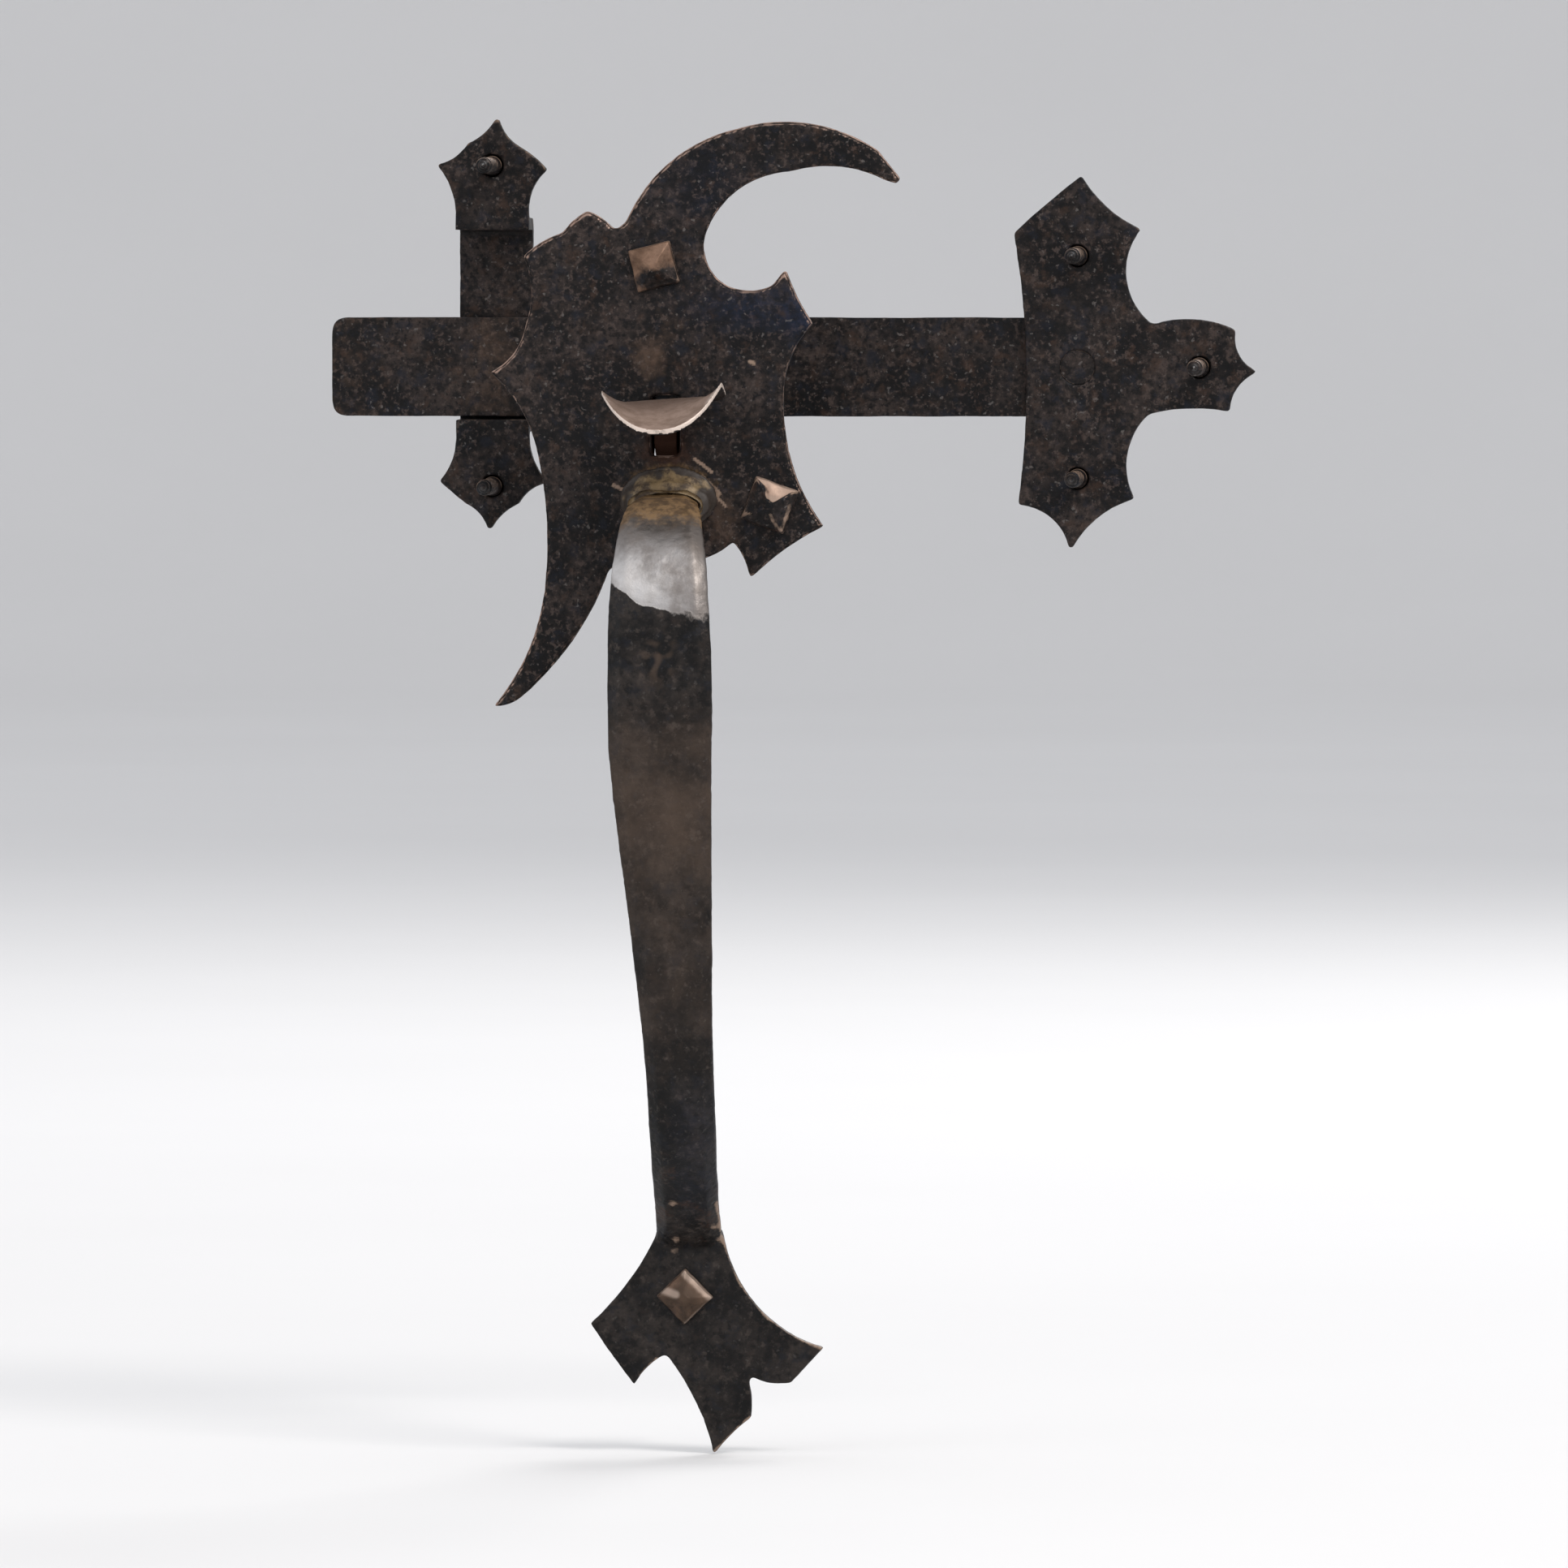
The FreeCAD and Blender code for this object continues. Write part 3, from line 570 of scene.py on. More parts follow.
def paint_rivet(surface):
    """The hammered crown is burnished where it faces into the room."""
    surface.paint("worn", 0.8 * ease(surface.normals()[:, 1], 0.2, 0.9))


PAINTERS = {
    "handle_plate": paint_plate,
    "grip": paint_grip,
    "thumb_lever": paint_lever,
    "latch_bar": paint_bar,
    "bar_rivet": paint_rivet,
    "pivot_cheek_left": paint_cheek,
    "pivot_cheek_right": paint_cheek,
}


def make_forgings(materials):
    """Every hammered piece, with its bore, its thin outline and its wear."""
    for seed, (node, body, slot, voxel, rounds, spacing, depth, pitting) in enumerate(FORGINGS):
        piece, surface = forge(node, voxel, rounds, spacing, depth, pitting, seed + 1)
        if node in BORES:
            inside, axis, radius, length = BORES[node]
            ream(surface, node_centre(inside), axis, radius, length)
        if node in BEVELS:
            bevel(surface, BEVELS[node])
        if voxel < PLATE_VOXEL:
            paint_wear(surface)
        else:
            paint_wear(surface, WEAR_FLAT, WEAR_FULL)
        if node in PAINTERS:
            PAINTERS[node](surface)
        finish_piece(piece, materials[slot], body, node)


def finish_piece(piece, material, body, node):
    """Gives a piece its material and hands it to the frame."""
    piece.data.materials.clear()
    piece.data.materials.append(material)
    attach(piece, body)
    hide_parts(node)


def make_collar(materials):
    """Brass run round the grip's root: lumpy, drawn in at its lip and sooty towards its rim."""
    piece = remeshed("braze_collar", COLLAR_VOXEL)
    surface = Surface(piece.data)
    surface.soften(COLLAR_ROUNDS)
    points = surface.points.copy()
    swell = 0.55 + 0.3 * grain(points, 3.6, 41) + 0.2 * grain(points, 1.7, 42)
    lip = ease(-points[:, 1], 5.6, 8.0)
    surface.sink(COLLAR_LIP * lip - swell)
    paint_wear(surface)
    low, high = box_mm("braze_collar")
    offset = (points - (low + high) / 2) / ((high - low) / 2)
    spread = np.hypot(offset[:, 0], offset[:, 2]) + 0.22 * grain(points, 3.4, 43)
    surface.paint("soot_and_shade", ease(spread, 0.62, 0.95))
    finish_piece(piece, materials["braze_brass"], "door_set", "braze_collar")


# ---------------------------------------------------------------- turned and threaded pieces

def ring_mesh(name, rings):
    """A closed skin over rings of points, with a point at each end."""
    count = len(rings[0])
    points = [np.mean(rings[0], axis=0), *np.concatenate(rings), np.mean(rings[-1], axis=0)]
    faces = []
    for i in range(count):
        faces.append((0, 1 + i, 1 + (i + 1) % count))
    for r in range(len(rings) - 1):
        here = 1 + r * count
        for i in range(count):
            after = (i + 1) % count
            faces.append((here + i, here + count + i, here + count + after, here + after))
    last = 1 + (len(rings) - 1) * count
    for i in range(count):
        faces.append((last + i, len(points) - 1, last + (i + 1) % count))
    mesh = bpy.data.meshes.new(name)
    mesh.from_pydata([tuple(np.array(p) * MM) for p in points], [], faces)
    for face in mesh.polygons:
        face.use_smooth = True
    return mesh


def ring_piece(name, rings):
    """A new object with a closed skin over rings of points, and its surface."""
    piece = bpy.data.objects.new(name, ring_mesh(name, rings))
    bpy.context.scene.collection.objects.link(piece)
    return piece, Surface(piece.data)


def screw_frame(node):
    """A screw's middle, top, direction, head half width, turn and length, from its CAD node."""
    flat = np.zeros(len(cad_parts[node].data.vertices) * 3)
    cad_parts[node].data.vertices.foreach_get("co", flat)
    points = flat.reshape(-1, 3) / MM
    centre = node_centre(node)
    offset = points[:, [0, 2]] - centre[[0, 2]]
    distance = np.linalg.norm(offset, axis=1)
    corner = distance.argmax()
    turn = math.atan2(offset[corner, 1], offset[corner, 0]) - math.pi / 4
    low, high = box_mm(node)
    into = 1 if points[corner, 1] < centre[1] else -1
    top = low[1] if into > 0 else high[1]
    return centre, top, into, distance[corner] / math.sqrt(2), turn, high[1] - low[1]


def shares(count):
    """Even steps that end at 1."""
    return np.linspace(0, 1, count + 1)[1:]


def screw_profile(half, length, plate):
    """Steps along a screw from the top of its head: depth, size, squareness and thread."""
    steps = [(0.0, HEAD_TIP * s, 1.0, 0.0) for s in (0.35, 0.7, 1.0)]
    for s in shares(CONE_RINGS):
        steps.append((HEAD_CONE * s, HEAD_TIP + (half - HEAD_TIP) * s, 1.0, 0.0))
    for s in shares(RIM_RINGS):
        steps.append((HEAD_CONE + HEAD_RIM * s, half, 1.0, 0.0))
    under = HEAD_CONE + HEAD_RIM
    for s in shares(UNDER_RINGS):
        steps.append((under, half + (NECK_RADIUS - half) * s, 1.0 - s, 0.0))
    for s in shares(NECK_RINGS):
        steps.append((under + plate * s, NECK_RADIUS, 0.0, 0.0))
    start = under + plate
    for s in shares(int((length - start) / THREAD_STEP) - 1):
        depth = start + (length - start) * s
        taper = min(1.0, max(POINT_SHARE, (length - depth) / POINT_LENGTH))
        thread = min(1.0, max(0.0, (depth - start - THREAD_START) / THREAD_RISE))
        steps.append((depth, SHANK_RADIUS * taper, 0.0, thread))
    return steps


def screw_rings(node):
    """Rings of points down a screw, how deep in the door its top is, and which way it points."""
    centre, top, into, half, turn, length = screw_frame(node)
    plate = GUIDE_THICKNESS if node.startswith("guide") else PLATE_THICKNESS
    angles = np.linspace(0, 2 * math.pi, SCREW_SIDES, endpoint=False)
    square = 1 / np.maximum(np.abs(np.cos(angles)), np.abs(np.sin(angles)))
    rings = []
    for depth, size, squareness, thread in screw_profile(half, length, plate):
        phase = (depth / THREAD_PITCH - into * angles / (2 * math.pi)) % 1.0
        ridge = np.clip(1 - np.abs(phase - 0.5) / THREAD_FLANK, 0, 1)
        cut = 1 - thread * (1 - THREAD_ROOT) * (1 - ridge)
        radius = size * (1 + squareness * (square - 1)) * cut
        x = centre[0] + radius * np.cos(angles + turn)
        z = centre[2] + radius * np.sin(angles + turn)
        rings.append(np.column_stack([x, np.full_like(angles, top + into * depth), z]))
    if into < 0:
        rings = [ring[::-1] for ring in rings]
    return rings, top, into


def make_screw(node, seed, materials):
    """Screw with a hammered pyramid head, a plain neck and a cut thread."""
    rings, top, into = screw_rings(node)
    piece, surface = ring_piece(node + "_forged", rings)
    depth = (surface.points[:, 1] - top) * into
    in_head = 1 - ease(depth, *HAMMERED_TO)
    surface.soften(HEAD_ROUNDS)
    dents = hammer_marks(surface.points, DENT_SPACING, 60 + seed)
    lumps = 1 + grain(surface.points, LUMP_SIZE, 70 + seed)
    surface.sink(in_head * (DENT_DEPTH * dents + LUMP_DEPTH * lumps))
    paint_wear(surface)
    paint_screw(surface, node, in_head)
    finish_piece(piece, materials["screw_iron"], "door_set", node)


# Which way (x, z) each outside screw's bright facets look, the least slope that way they have,
# how softly they end, how pale they are and how dim; the bright facets are worn and carry a painted
# highlight where they face the light, and the inside screws are all alike
BRIGHT_FACETS = {
    "plate_screw_top": (-0.6, 0.8, 0.1, 0.35, 0.0, 0.35),
    "plate_screw_side": (0.34, 0.94, 0.36, 0.12, 0.35, 0.2),
    "foot_screw": (0.3, 0.95, -0.9, 1.2, 0.0, 0.95),
}
INNER_FACETS = (0.0, 1.0, 0.0, 0.6, 0.0, 0.6)
FACET_ROUNDS = 12

# How bare the whole head is at least, and painted shade on its lower facets, which are made less bare
HEAD_BARE = {"plate_screw_top": 0.6, "foot_screw": 0.55}
HEAD_SHADE = {"plate_screw_top": [(1.0, -1.4, 28.8, 4.2, 2.0), (0.8, 2.0, 28.0, 2.4, 3.5)]}

# Ridges that a wrench has rubbed on the screws' heads, with a painted highlight along them: both
# ends and the half width
WORN_LIT_RIDGES = {
    "plate_screw_side": [
        ((29.6, -24.4), (28.9, -27.4), 0.9),
        ((28.9, -27.4), (27.5, -30.2), 0.9),
        ((25.2, -26.6), (26.6, -29.4), 0.8),
    ],
    "foot_screw": [
        ((4.8, -205.8), (11.0, -211.6), 1.3),
        ((-1.0, -209.6), (2.8, -210.8), 1.3),
        ((5.2, -217.8), (10.4, -213.2), 0.9),
    ],
}


def paint_screw(surface, node, in_head):
    """Facets and ridges rubbed by tools and hands, with a painted highlight facing the light and
    painted shade below, and rust.
    """
    points = surface.points
    normals = surface.normals()
    x, z, least, soft, pale, dim = BRIGHT_FACETS.get(node, INNER_FACETS)
    facing = normals[:, 0] * x + normals[:, 2] * z + 0.5 * soft * grain(points, 2.4, 81)
    for _ in range(FACET_ROUNDS):
        facing = 0.5 * (facing + surface.around(facing))
    # Painted highlight: the facets facing (x, z) are made bare and paler
    bright = ease(facing, least, least + soft)
    bare = np.maximum(bright, HEAD_BARE.get(node, 0.0)) * in_head
    # Painted shade on the top screw's lower facets, which are made less bare
    for strength, *stain in HEAD_SHADE.get(node, []):
        bare *= 1 - strength * near_spot(points, *stain)
    # Worn ridges with a painted highlight along them
    ridges = near_lines(points, WORN_LIT_RIDGES.get(node, [])) * in_head
    surface.paint("bare", bare)
    surface.paint("scratch", 0.6 * ridges)
    surface.paint("gleam", np.maximum(pale * bright, 0.45 * ridges))
    surface.paint("dim", dim * (1 + 0.5 * grain(points, 3.2, 83)))
    surface.paint("rust", 0.6 * ease(grain(points, 3.0, 82), 0.0, 0.5) * in_head)


def make_pin(materials):
    """Pivot pin with rounded ends, proud of the cheeks."""
    low, high = box_mm("pivot_pin")
    centre = (low + high) / 2
    half, _, radius = (high - low) / 2
    bends = np.linspace(0, math.pi / 2, PIN_END_RINGS)
    reach = half - PIN_ROUNDING * (1 - np.cos(bends))
    radii = radius - PIN_ROUNDING * (1 - np.sin(bends))
    stem = np.linspace(PIN_ROUNDING - half, half - PIN_ROUNDING, PIN_STEM_RINGS)[1:-1]
    stations = [*zip(-reach, radii), *((x, radius) for x in stem), *zip(reach[::-1], radii[::-1])]
    angles = np.linspace(0, 2 * math.pi, PIN_SIDES, endpoint=False)
    rings = []
    for x, size in stations:
        y = centre[1] + size * np.cos(angles)
        z = centre[2] + size * np.sin(angles)
        rings.append(np.column_stack([np.full_like(angles, centre[0] + x), y, z]))
    piece, surface = ring_piece("pivot_pin_turned", rings)
    paint_wear(surface)
    finish_piece(piece, materials["pin_steel"], "door_set", "pivot_pin")


# ---------------------------------------------------------------- colours

def colour(red, green, blue):
    """A screen colour, from 0 to 255, as the linear colour that shaders take."""
    def linear(value):
        share = value / 255
        return share / 12.92 if share <= 0.04045 else ((share + 0.055) / 1.055) ** 2.4
    return (linear(red), linear(green), linear(blue), 1.0)


def colours(*tones):
    """Several screen colours."""
    return [colour(*tone) for tone in tones]


# Scale of the fire: its dark, light, brown and blue, and the brown that hands rub it to
PLATE_SCALE = colours((5, 4, 5), (64, 54, 50), (62, 45, 35), (20, 24, 34), (92, 73, 60))
GRIP_SCALE = colours((9, 8, 8), (58, 51, 47), (62, 49, 42), (22, 24, 30), (84, 69, 58))

# Bare metal: light, dull, dim and palest; on the grip's bend, dim and palest are a painted reflection,
# and at the back of the press dim is painted shade
STEEL = colours((174, 170, 168), (134, 129, 126), (116, 108, 102), (216, 213, 211))
THUMBED = colours((174, 150, 136), (136, 115, 101), (98, 81, 71), (205, 188, 176))
TAN = colours((148, 117, 97), (96, 72, 56), (76, 61, 50), (206, 184, 168))
PRESS_RIM = colour(212, 196, 184)

# Crests rubbed bright, with a painted highlight on crests that face up
PLATE_EDGE = colour(160, 134, 120)
GRIP_EDGE = colour(112, 96, 86)
LEVER_EDGE = colour(120, 100, 86)
BAR_EDGE = colour(112, 94, 80)
SCREW_EDGE = colour(138, 116, 100)
PIN_EDGE = colour(150, 140, 130)

# Marks and stains on the iron, the darkening of its hollows, and painted shade
FLECK = colour(104, 99, 96)
SCRATCHED = colour(158, 134, 116)
BLUED = colour(24, 34, 54)
RUST = colour(66, 43, 31)
HOLLOW_DARK = colour(16, 14, 14)
# Painted shade in and under the lever's slot and between the cheeks and the blade
SLOT_SHADE = colour(46, 31, 25)
BRASS = colour(138, 108, 72)
DARK_BRASS = colour(92, 70, 45)

# Braze collar
BRAZE = colour(128, 107, 76)
BRAZE_STAIN = colour(66, 52, 39)
BRAZE_GRAIN = colour(150, 130, 98)
BRAZE_EDGE = colour(150, 132, 98)
BRAZE_SOOT = colour(52, 44, 38)

# Floor, as linear colours
FLOOR_DARK = (0.70, 0.69, 0.68, 1)
FLOOR_LIGHT = (0.74, 0.73, 0.72, 1)


# ---------------------------------------------------------------- materials

class Shader:
    """Builds one procedural material."""

    def __init__(self, name):
        self.material = bpy.data.materials.new(name)
        self.material.use_nodes = True
        self.tree = self.material.node_tree
        self.tree.nodes.clear()
        self.surface = self.add("ShaderNodeBsdfPrincipled")
        output = self.add("ShaderNodeOutputMaterial")
        self.feed(output.inputs["Surface"], self.surface.outputs["BSDF"])
        self.place = self.add("ShaderNodeTexCoord").outputs["Object"]

    def add(self, kind, **settings):
        """A new node with these settings."""
        node = self.tree.nodes.new(kind)
        for setting, value in settings.items():
            setattr(node, setting, value)
        return node

    def feed(self, socket, value):
        """Sets a socket to a number or a colour, or links it to another node."""
        if isinstance(value, bpy.types.NodeSocket):
            self.tree.links.new(value, socket)
        else:
            socket.default_value = value

    def noise(self, size, detail=4.0, roughness=0.55, shift=0.0):
        """Cloudy noise about 0.5, with blotches of about this many millimetres."""
        moved = self.add("ShaderNodeVectorMath", operation="ADD")
        self.feed(moved.inputs[0], self.place)
        moved.inputs[1].default_value = (shift, 0.37 * shift, 0.71 * shift)
        node = self.add("ShaderNodeTexNoise")
        self.feed(node.inputs["Vector"], moved.outputs[0])
        node.inputs["Scale"].default_value = 1 / (size * MM)
        node.inputs["Detail"].default_value = detail
        node.inputs["Roughness"].default_value = roughness
        return node.outputs[0]

    def cells(self, size):
        """Distance from the nearest of many scattered points, 0 at each point."""
        node = self.add("ShaderNodeTexVoronoi")
        self.feed(node.inputs["Vector"], self.place)
        node.inputs["Scale"].default_value = 1 / (size * MM)
        return node.outputs["Distance"]

    def span(self, value, low, high, start=0.0, end=1.0):
        """Maps low to start and high to end, smoothly, and holds outside them."""
        node = self.add("ShaderNodeMapRange", interpolation_type="SMOOTHSTEP")
        self.feed(node.inputs["Value"], value)
        node.inputs["From Min"].default_value = low
        node.inputs["From Max"].default_value = high
        node.inputs["To Min"].default_value = start
        node.inputs["To Max"].default_value = end
        return node.outputs["Result"]

    def maths(self, operation, first, second):
        """One operation on two numbers."""
        node = self.add("ShaderNodeMath", operation=operation)
        self.feed(node.inputs[0], first)
        self.feed(node.inputs[1], second)
        return node.outputs[0]

    def times(self, first, second):
        """Product of two numbers."""
        return self.maths("MULTIPLY", first, second)

    def opposite(self, value):
        """1 less a number."""
        return self.maths("SUBTRACT", 1.0, value)

    def painted(self, name):
        """A number stored at the mesh's points; 0 where the mesh has none."""
        return self.add("ShaderNodeAttribute", attribute_name=name).outputs["Fac"]

    def blend(self, share, first, second):
        """The first colour where share is 0 and the second where it is 1."""
        node = self.add("ShaderNodeMix", data_type="RGBA")
        self.feed(node.inputs[0], share)
        self.feed(node.inputs[6], first)
        self.feed(node.inputs[7], second)
        return node.outputs[2]

    def between(self, share, first, second):
        """The first number where share is 0 and the second where it is 1."""
        node = self.add("ShaderNodeMix", data_type="FLOAT")
        self.feed(node.inputs[0], share)
        self.feed(node.inputs[2], first)
        self.feed(node.inputs[3], second)
        return node.outputs[0]

    def ragged(self, name, size, shift, low, high, spread):
        """A painted zone with its border broken up by noise."""
        broken = self.times(self.maths("SUBTRACT", self.noise(size, 6.0, 0.6, shift), 0.5), spread)
        return self.span(self.maths("ADD", self.painted(name), broken), low, high)

    def bump(self, height, depth, before=None):
        """Raises the surface where height is 1, by this many millimetres."""
        node = self.add("ShaderNodeBump")
        node.inputs["Strength"].default_value = 1.0
        node.inputs["Distance"].default_value = depth * MM
        self.feed(node.inputs["Height"], height)
        if before:
            self.feed(node.inputs["Normal"], before)
        return node.outputs[0]


def scale_colour(s, scale, mottle, gritty):
    """Scale of the fire: dark and light mottle, brown and blue tints and pale flecks."""
    dark, light, brown, blue, _ = scale
    clouds = s.noise(13.0, 5.0, 0.6)
    grit = s.noise(1.2, 4.0, 0.6, 5.0)
    tint = s.noise(4.2, 6.0, 0.65, 7.0)
    speck = s.noise(1.25, 3.0, 0.5, 13.0)
    body = s.blend(s.span(clouds, 0.38, 0.68, 0.0, 0.55), dark, light)
    body = s.blend(s.span(mottle, 0.50, 0.38, 0.0, 0.85), body, dark)
    body = s.blend(s.span(mottle, 0.55, 0.68, 0.0, 0.9), body, light)
    body = s.blend(s.span(grit, 0.54, 0.66, 0.0, 0.9 * gritty), body, light)
    body = s.blend(s.span(grit, 0.48, 0.36, 0.0, 0.9 * gritty), body, dark)
    body = s.blend(s.span(tint, 0.54, 0.68, 0.0, 0.5 * gritty), body, brown)
    body = s.blend(s.span(tint, 0.47, 0.35, 0.0, 0.55), body, blue)
    body = s.blend(s.times(s.painted("blue"), s.span(mottle, 0.4, 0.6, 0.2, 0.7)), body, BLUED)
    return s.blend(s.span(speck, 0.64, 0.72, 0.0, 0.5 * gritty), body, FLECK)


def wear_colour(s, body, rubbed, crest, edge, soot_and_shade, gritty):
    """Rubbed and rusted places over the scale, bright crests with a painted highlight, scratches,
    darker hollows and painted shade.
    """
    worn = s.times(s.ragged("worn", 2.2, 17.0, 0.15, 0.95, 1.1 * gritty), 0.7)
    body = s.blend(worn, body, rubbed)
    rust = s.times(s.ragged("rust", 1.6, 19.0, 0.3, 0.95, 1.2), 0.75)
    body = s.blend(rust, body, RUST)
    # Rubbed crests, with a painted highlight on those facing up
    body = s.blend(s.times(crest, 0.85), body, edge)
    scratch = s.ragged("scratch", 0.8, 27.0, 0.3, 0.8, 0.9)
    body = s.blend(s.times(scratch, 0.7), body, SCRATCHED)
    # Darker in the hollows
    body = s.blend(s.times(s.painted("hollow"), 0.6), body, HOLLOW_DARK)
    # Painted shade from the soot attribute
    return s.blend(soot_and_shade, body, SLOT_SHADE)


def metal_colour(s, metal_tones, rim_colour, patina, fine):
    """Bare metal: clouded, dulled by fine grit, and dim or pale where it is painted so."""
    light, dull, dim, pale = metal_tones
    metal = s.blend(s.span(patina, 0.36, 0.7), light, dull)
    metal = s.blend(s.span(fine, 0.5, 0.75, 0.0, 0.4), metal, dull)
    # On the grip's bend and the press, dim and gleam are painted reflection and painted shade
    metal = s.blend(s.painted("dim"), metal, dim)
    metal = s.blend(s.painted("gleam"), metal, pale)
    if rim_colour:
        metal = s.blend(s.span(s.painted("rim"), 0.25, 0.6), metal, rim_colour)
    return metal


def black_iron(
    name, scale, edge, metal_tones, rim_colour=None, rough=0.34, metallic=0.9, gritty=1.0, tatter=0.9
):
    """Blackened wrought iron: mottled scale, pits, rubbed crests with a painted highlight, rust, bare
    patches and painted shade.

    rough and metallic are the bare metal's. gritty is 1 for rough scale and less where hands have
    smoothed it. tatter is how ragged the borders of the bare patches are.
    """
    s = Shader(name)
    mottle = s.noise(2.6, 6.0, 0.65, 3.0)
    fine = s.noise(0.55, 4.0, 0.6, 11.0)
    patina = s.noise(4.0, 5.0, 0.6, 31.0)
    crest = s.ragged("crest", 2.0, 23.0, 0.35, 0.85, 1.0)
    bare = s.ragged("bare", 1.8, 29.0, 0.36, 0.64, tatter)
    brass = s.ragged("brass", 2.2, 37.0, 0.35, 0.85, 0.8)
    # On iron pieces the soot attribute holds only painted shade, which also takes away metal and sheen
    soot_and_shade = s.painted("soot_and_shade")

    body = scale_colour(s, scale, mottle, gritty)
    body = wear_colour(s, body, scale[-1], crest, edge, soot_and_shade, gritty)
    body = s.blend(bare, body, metal_colour(s, metal_tones, rim_colour, patina, fine))
    brassy = s.blend(s.span(mottle, 0.42, 0.6), DARK_BRASS, BRASS)
    body = s.blend(s.times(brass, 0.85), body, brassy)
    s.feed(s.surface.inputs["Base Color"], body)

    shine = s.maths("MAXIMUM", bare, s.times(crest, 0.6))
    shine = s.times(shine, s.opposite(s.times(brass, 0.8)))
    like_metal = s.times(s.opposite(soot_and_shade), s.span(shine, 0.0, 1.0, 0.15, metallic))
    s.feed(s.surface.inputs["Metallic"], like_metal)
    # Painted shade takes away the specular sheen
    s.feed(s.surface.inputs["Specular IOR Level"], s.span(soot_and_shade, 0.0, 0.6, 0.22, 0.0))
    smoothed = 1 - gritty
    scale_rough = s.span(mottle, 0.3, 0.7, 0.46 - 0.1 * smoothed, 0.7 - 0.2 * smoothed)
    metal_rough = s.span(patina, 0.3, 0.7, rough, rough + 0.14)
    s.feed(s.surface.inputs["Roughness"], s.between(shine, scale_rough, metal_rough))

    scaly = s.opposite(s.times(bare, 0.75))
    pits = s.times(s.span(s.cells(2.2), 0.10, 0.34), scaly)
    flakes = s.bump(s.times(mottle, scaly), 0.08 + 0.16 * gritty)
    s.feed(s.surface.inputs["Normal"], s.bump(fine, 0.05, s.bump(pits, 0.07, flakes)))
    return s.material


def dull_brass(name):
    """Brazing brass, chilled and stained: olive and brown with a few bright crests."""
    s = Shader(name)
    stain = s.noise(3.2, 6.0, 0.65)
    fine = s.noise(0.6, 4.0, 0.6, 5.0)
    body = s.blend(s.span(stain, 0.42, 0.62), BRAZE, BRAZE_STAIN)
    body = s.blend(s.span(fine, 0.52, 0.74, 0.0, 0.5), body, BRAZE_GRAIN)
    crest = s.ragged("crest", 1.4, 9.0, 0.5, 1.0, 0.9)
    body = s.blend(s.times(crest, 0.15), body, BRAZE_EDGE)
    # Darker in the hollows
    body = s.blend(s.times(s.painted("hollow"), 0.7), body, HOLLOW_DARK)
    body = s.blend(s.ragged("soot_and_shade", 1.6, 12.0, 0.3, 0.8, 0.9), body, BRAZE_SOOT)
    s.feed(s.surface.inputs["Base Color"], body)
    s.surface.inputs["Metallic"].default_value = 0.15
    s.feed(s.surface.inputs["Roughness"], s.span(stain, 0.3, 0.7, 0.45, 0.68))
    s.feed(s.surface.inputs["Normal"], s.bump(fine, 0.05, s.bump(stain, 0.12)))
    return s.material


def make_materials():
    """Every material, by the slot that it fills."""
    lever_finish = {"rim_colour": PRESS_RIM, "rough": 0.4, "metallic": 0.35, "tatter": 0.6}
    screw_finish = {"rough": 0.46, "metallic": 0.45, "tatter": 0.45}
    grip_finish = {"rough": 0.38, "gritty": 0.35}
    return {
        "plate_iron": black_iron("plate_iron", PLATE_SCALE, PLATE_EDGE, TAN),
        "grip_iron": black_iron("grip_iron", GRIP_SCALE, GRIP_EDGE, STEEL, **grip_finish),
        "lever_iron": black_iron("lever_iron", PLATE_SCALE, LEVER_EDGE, THUMBED, **lever_finish),
        "bar_iron": black_iron("bar_iron", PLATE_SCALE, BAR_EDGE, TAN),
        "screw_iron": black_iron("screw_iron", PLATE_SCALE, SCREW_EDGE, TAN, **screw_finish),
        "pin_steel": black_iron("pin_steel", GRIP_SCALE, PIN_EDGE, STEEL),
        "braze_brass": dull_brass("braze_brass"),
    }


# ---------------------------------------------------------------- stage, lights and camera, in metres

# Radii of the rings in the flat floor, the bend into the wall and the wall above it
FLOOR_RINGS = [0.001, 1.0, 3.0, 6.5]
FLOOR_BEND = 1.6
BEND_STEPS = 12
WALL_HEIGHT = 0.6
STAGE_SIDES = 96

# Blotches in the floor's paper, in millimetres
PAPER_BLOTCH = 400.0

# Lights: name, place from the latch's middle, size, power and tone
LIGHTS = [
    ("key", (1.3, -1.7, 2.2), 1.1, 46, (1.0, 0.97, 0.94)),
    ("fill", (-2.2, -2.2, 0.7), 1.8, 14, (0.95, 0.97, 1.0)),
    ("back", (0.8, 2.4, 1.6), 1.4, 32, (1.0, 1.0, 1.0)),
]
ROOM_COLOUR = (0.93, 0.95, 1.0, 1)
ROOM_STRENGTH = 0.85

CAMERA_PLACE = (0.345, -4.0, 0.041)
CAMERA_LENS = 390
CAMERA_REACH = 100


def stage_profile():
    """Radius and height of each ring of the stage, from its middle to the top of its wall."""
    edge = FLOOR_RINGS[-1]
    profile = [(radius, 0.0) for radius in FLOOR_RINGS]
    for step in range(1, BEND_STEPS + 1):
        turn = step / BEND_STEPS * math.pi / 2
        profile.append((edge + FLOOR_BEND * math.sin(turn), FLOOR_BEND * (1 - math.cos(turn))))
    profile.append((edge + FLOOR_BEND, FLOOR_BEND + WALL_HEIGHT))
    return profile


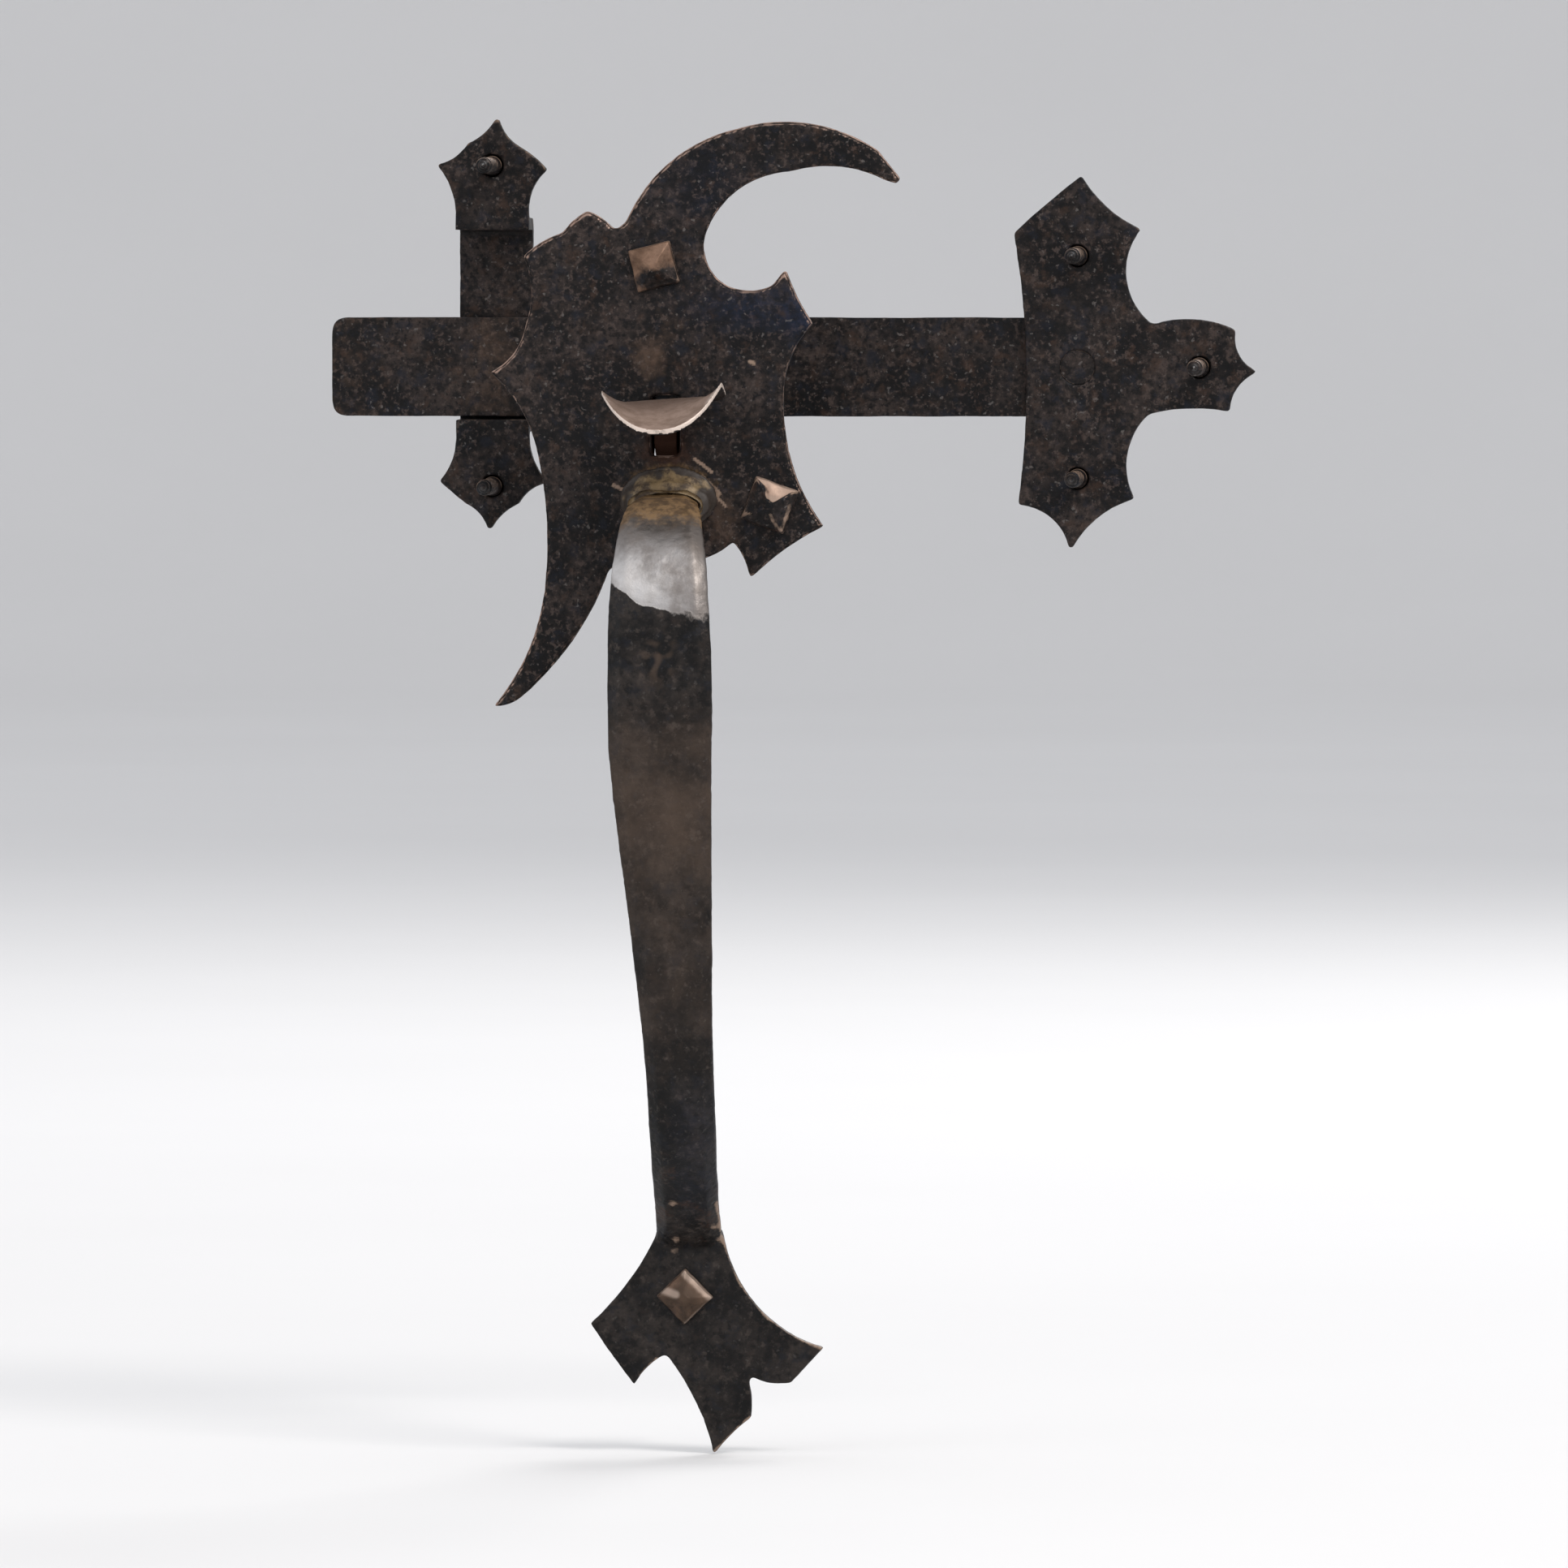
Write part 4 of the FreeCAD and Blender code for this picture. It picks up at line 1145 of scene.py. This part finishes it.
def make_stage():
    """Plain pale floor that curves up into a wall all round."""
    low, _ = cad_box
    profile = stage_profile()
    points = []
    for radius, rise in profile:
        for i in range(STAGE_SIDES):
            turn = 2 * math.pi * i / STAGE_SIDES
            points.append((radius * math.cos(turn), radius * math.sin(turn), low[2] + rise))
    faces = [tuple(reversed(range(STAGE_SIDES)))]
    for r in range(len(profile) - 1):
        here = r * STAGE_SIDES
        above = here + STAGE_SIDES
        for i in range(STAGE_SIDES):
            after = (i + 1) % STAGE_SIDES
            faces.append((here + i, here + after, above + after, above + i))
    mesh = bpy.data.meshes.new("floor")
    mesh.from_pydata(points, [], faces)
    for face in mesh.polygons:
        face.use_smooth = True
    floor = bpy.data.objects.new("floor", mesh)
    bpy.context.scene.collection.objects.link(floor)
    s = Shader("floor_paper")
    s.feed(s.surface.inputs["Base Color"], s.blend(s.noise(PAPER_BLOTCH), FLOOR_DARK, FLOOR_LIGHT))
    s.surface.inputs["Roughness"].default_value = 0.9
    mesh.materials.append(s.material)


def make_lights(centre):
    """Three soft lights and an even pale room."""
    for name, place, size, power, tone in LIGHTS:
        data = bpy.data.lights.new(name, "AREA")
        data.shape = "DISK"
        data.size = size
        data.energy = power
        data.color = tone
        light = bpy.data.objects.new(name, data)
        bpy.context.scene.collection.objects.link(light)
        light.location = centre + Vector(place)
        light.rotation_euler = (-Vector(place)).to_track_quat("-Z", "Y").to_euler()
    world = bpy.data.worlds.new("studio")
    world.use_nodes = True
    world.node_tree.nodes["Background"].inputs["Color"].default_value = ROOM_COLOUR
    world.node_tree.nodes["Background"].inputs["Strength"].default_value = ROOM_STRENGTH
    bpy.context.scene.world = world


def make_camera(centre):
    """Far off with a long lens and a little to the right, so that the latch is seen nearly flat on."""
    data = bpy.data.cameras.new("camera")
    data.lens = CAMERA_LENS
    data.clip_end = CAMERA_REACH
    camera = bpy.data.objects.new("camera", data)
    bpy.context.scene.collection.objects.link(camera)
    camera.location = CAMERA_PLACE
    camera.rotation_euler = (centre - camera.location).to_track_quat("-Z", "Y").to_euler()
    bpy.context.scene.camera = camera


def main():
    """Builds the whole scene."""
    centre = (cad_box[0] + cad_box[1]) / 2
    make_camera(centre)
    make_lights(centre)
    make_stage()
    materials = make_materials()
    make_forgings(materials)
    make_collar(materials)
    make_pin(materials)
    for seed, node in enumerate(SCREW_NODES):
        make_screw(node, seed, materials)
    bpy.context.scene.view_settings.view_transform = "Standard"


main()
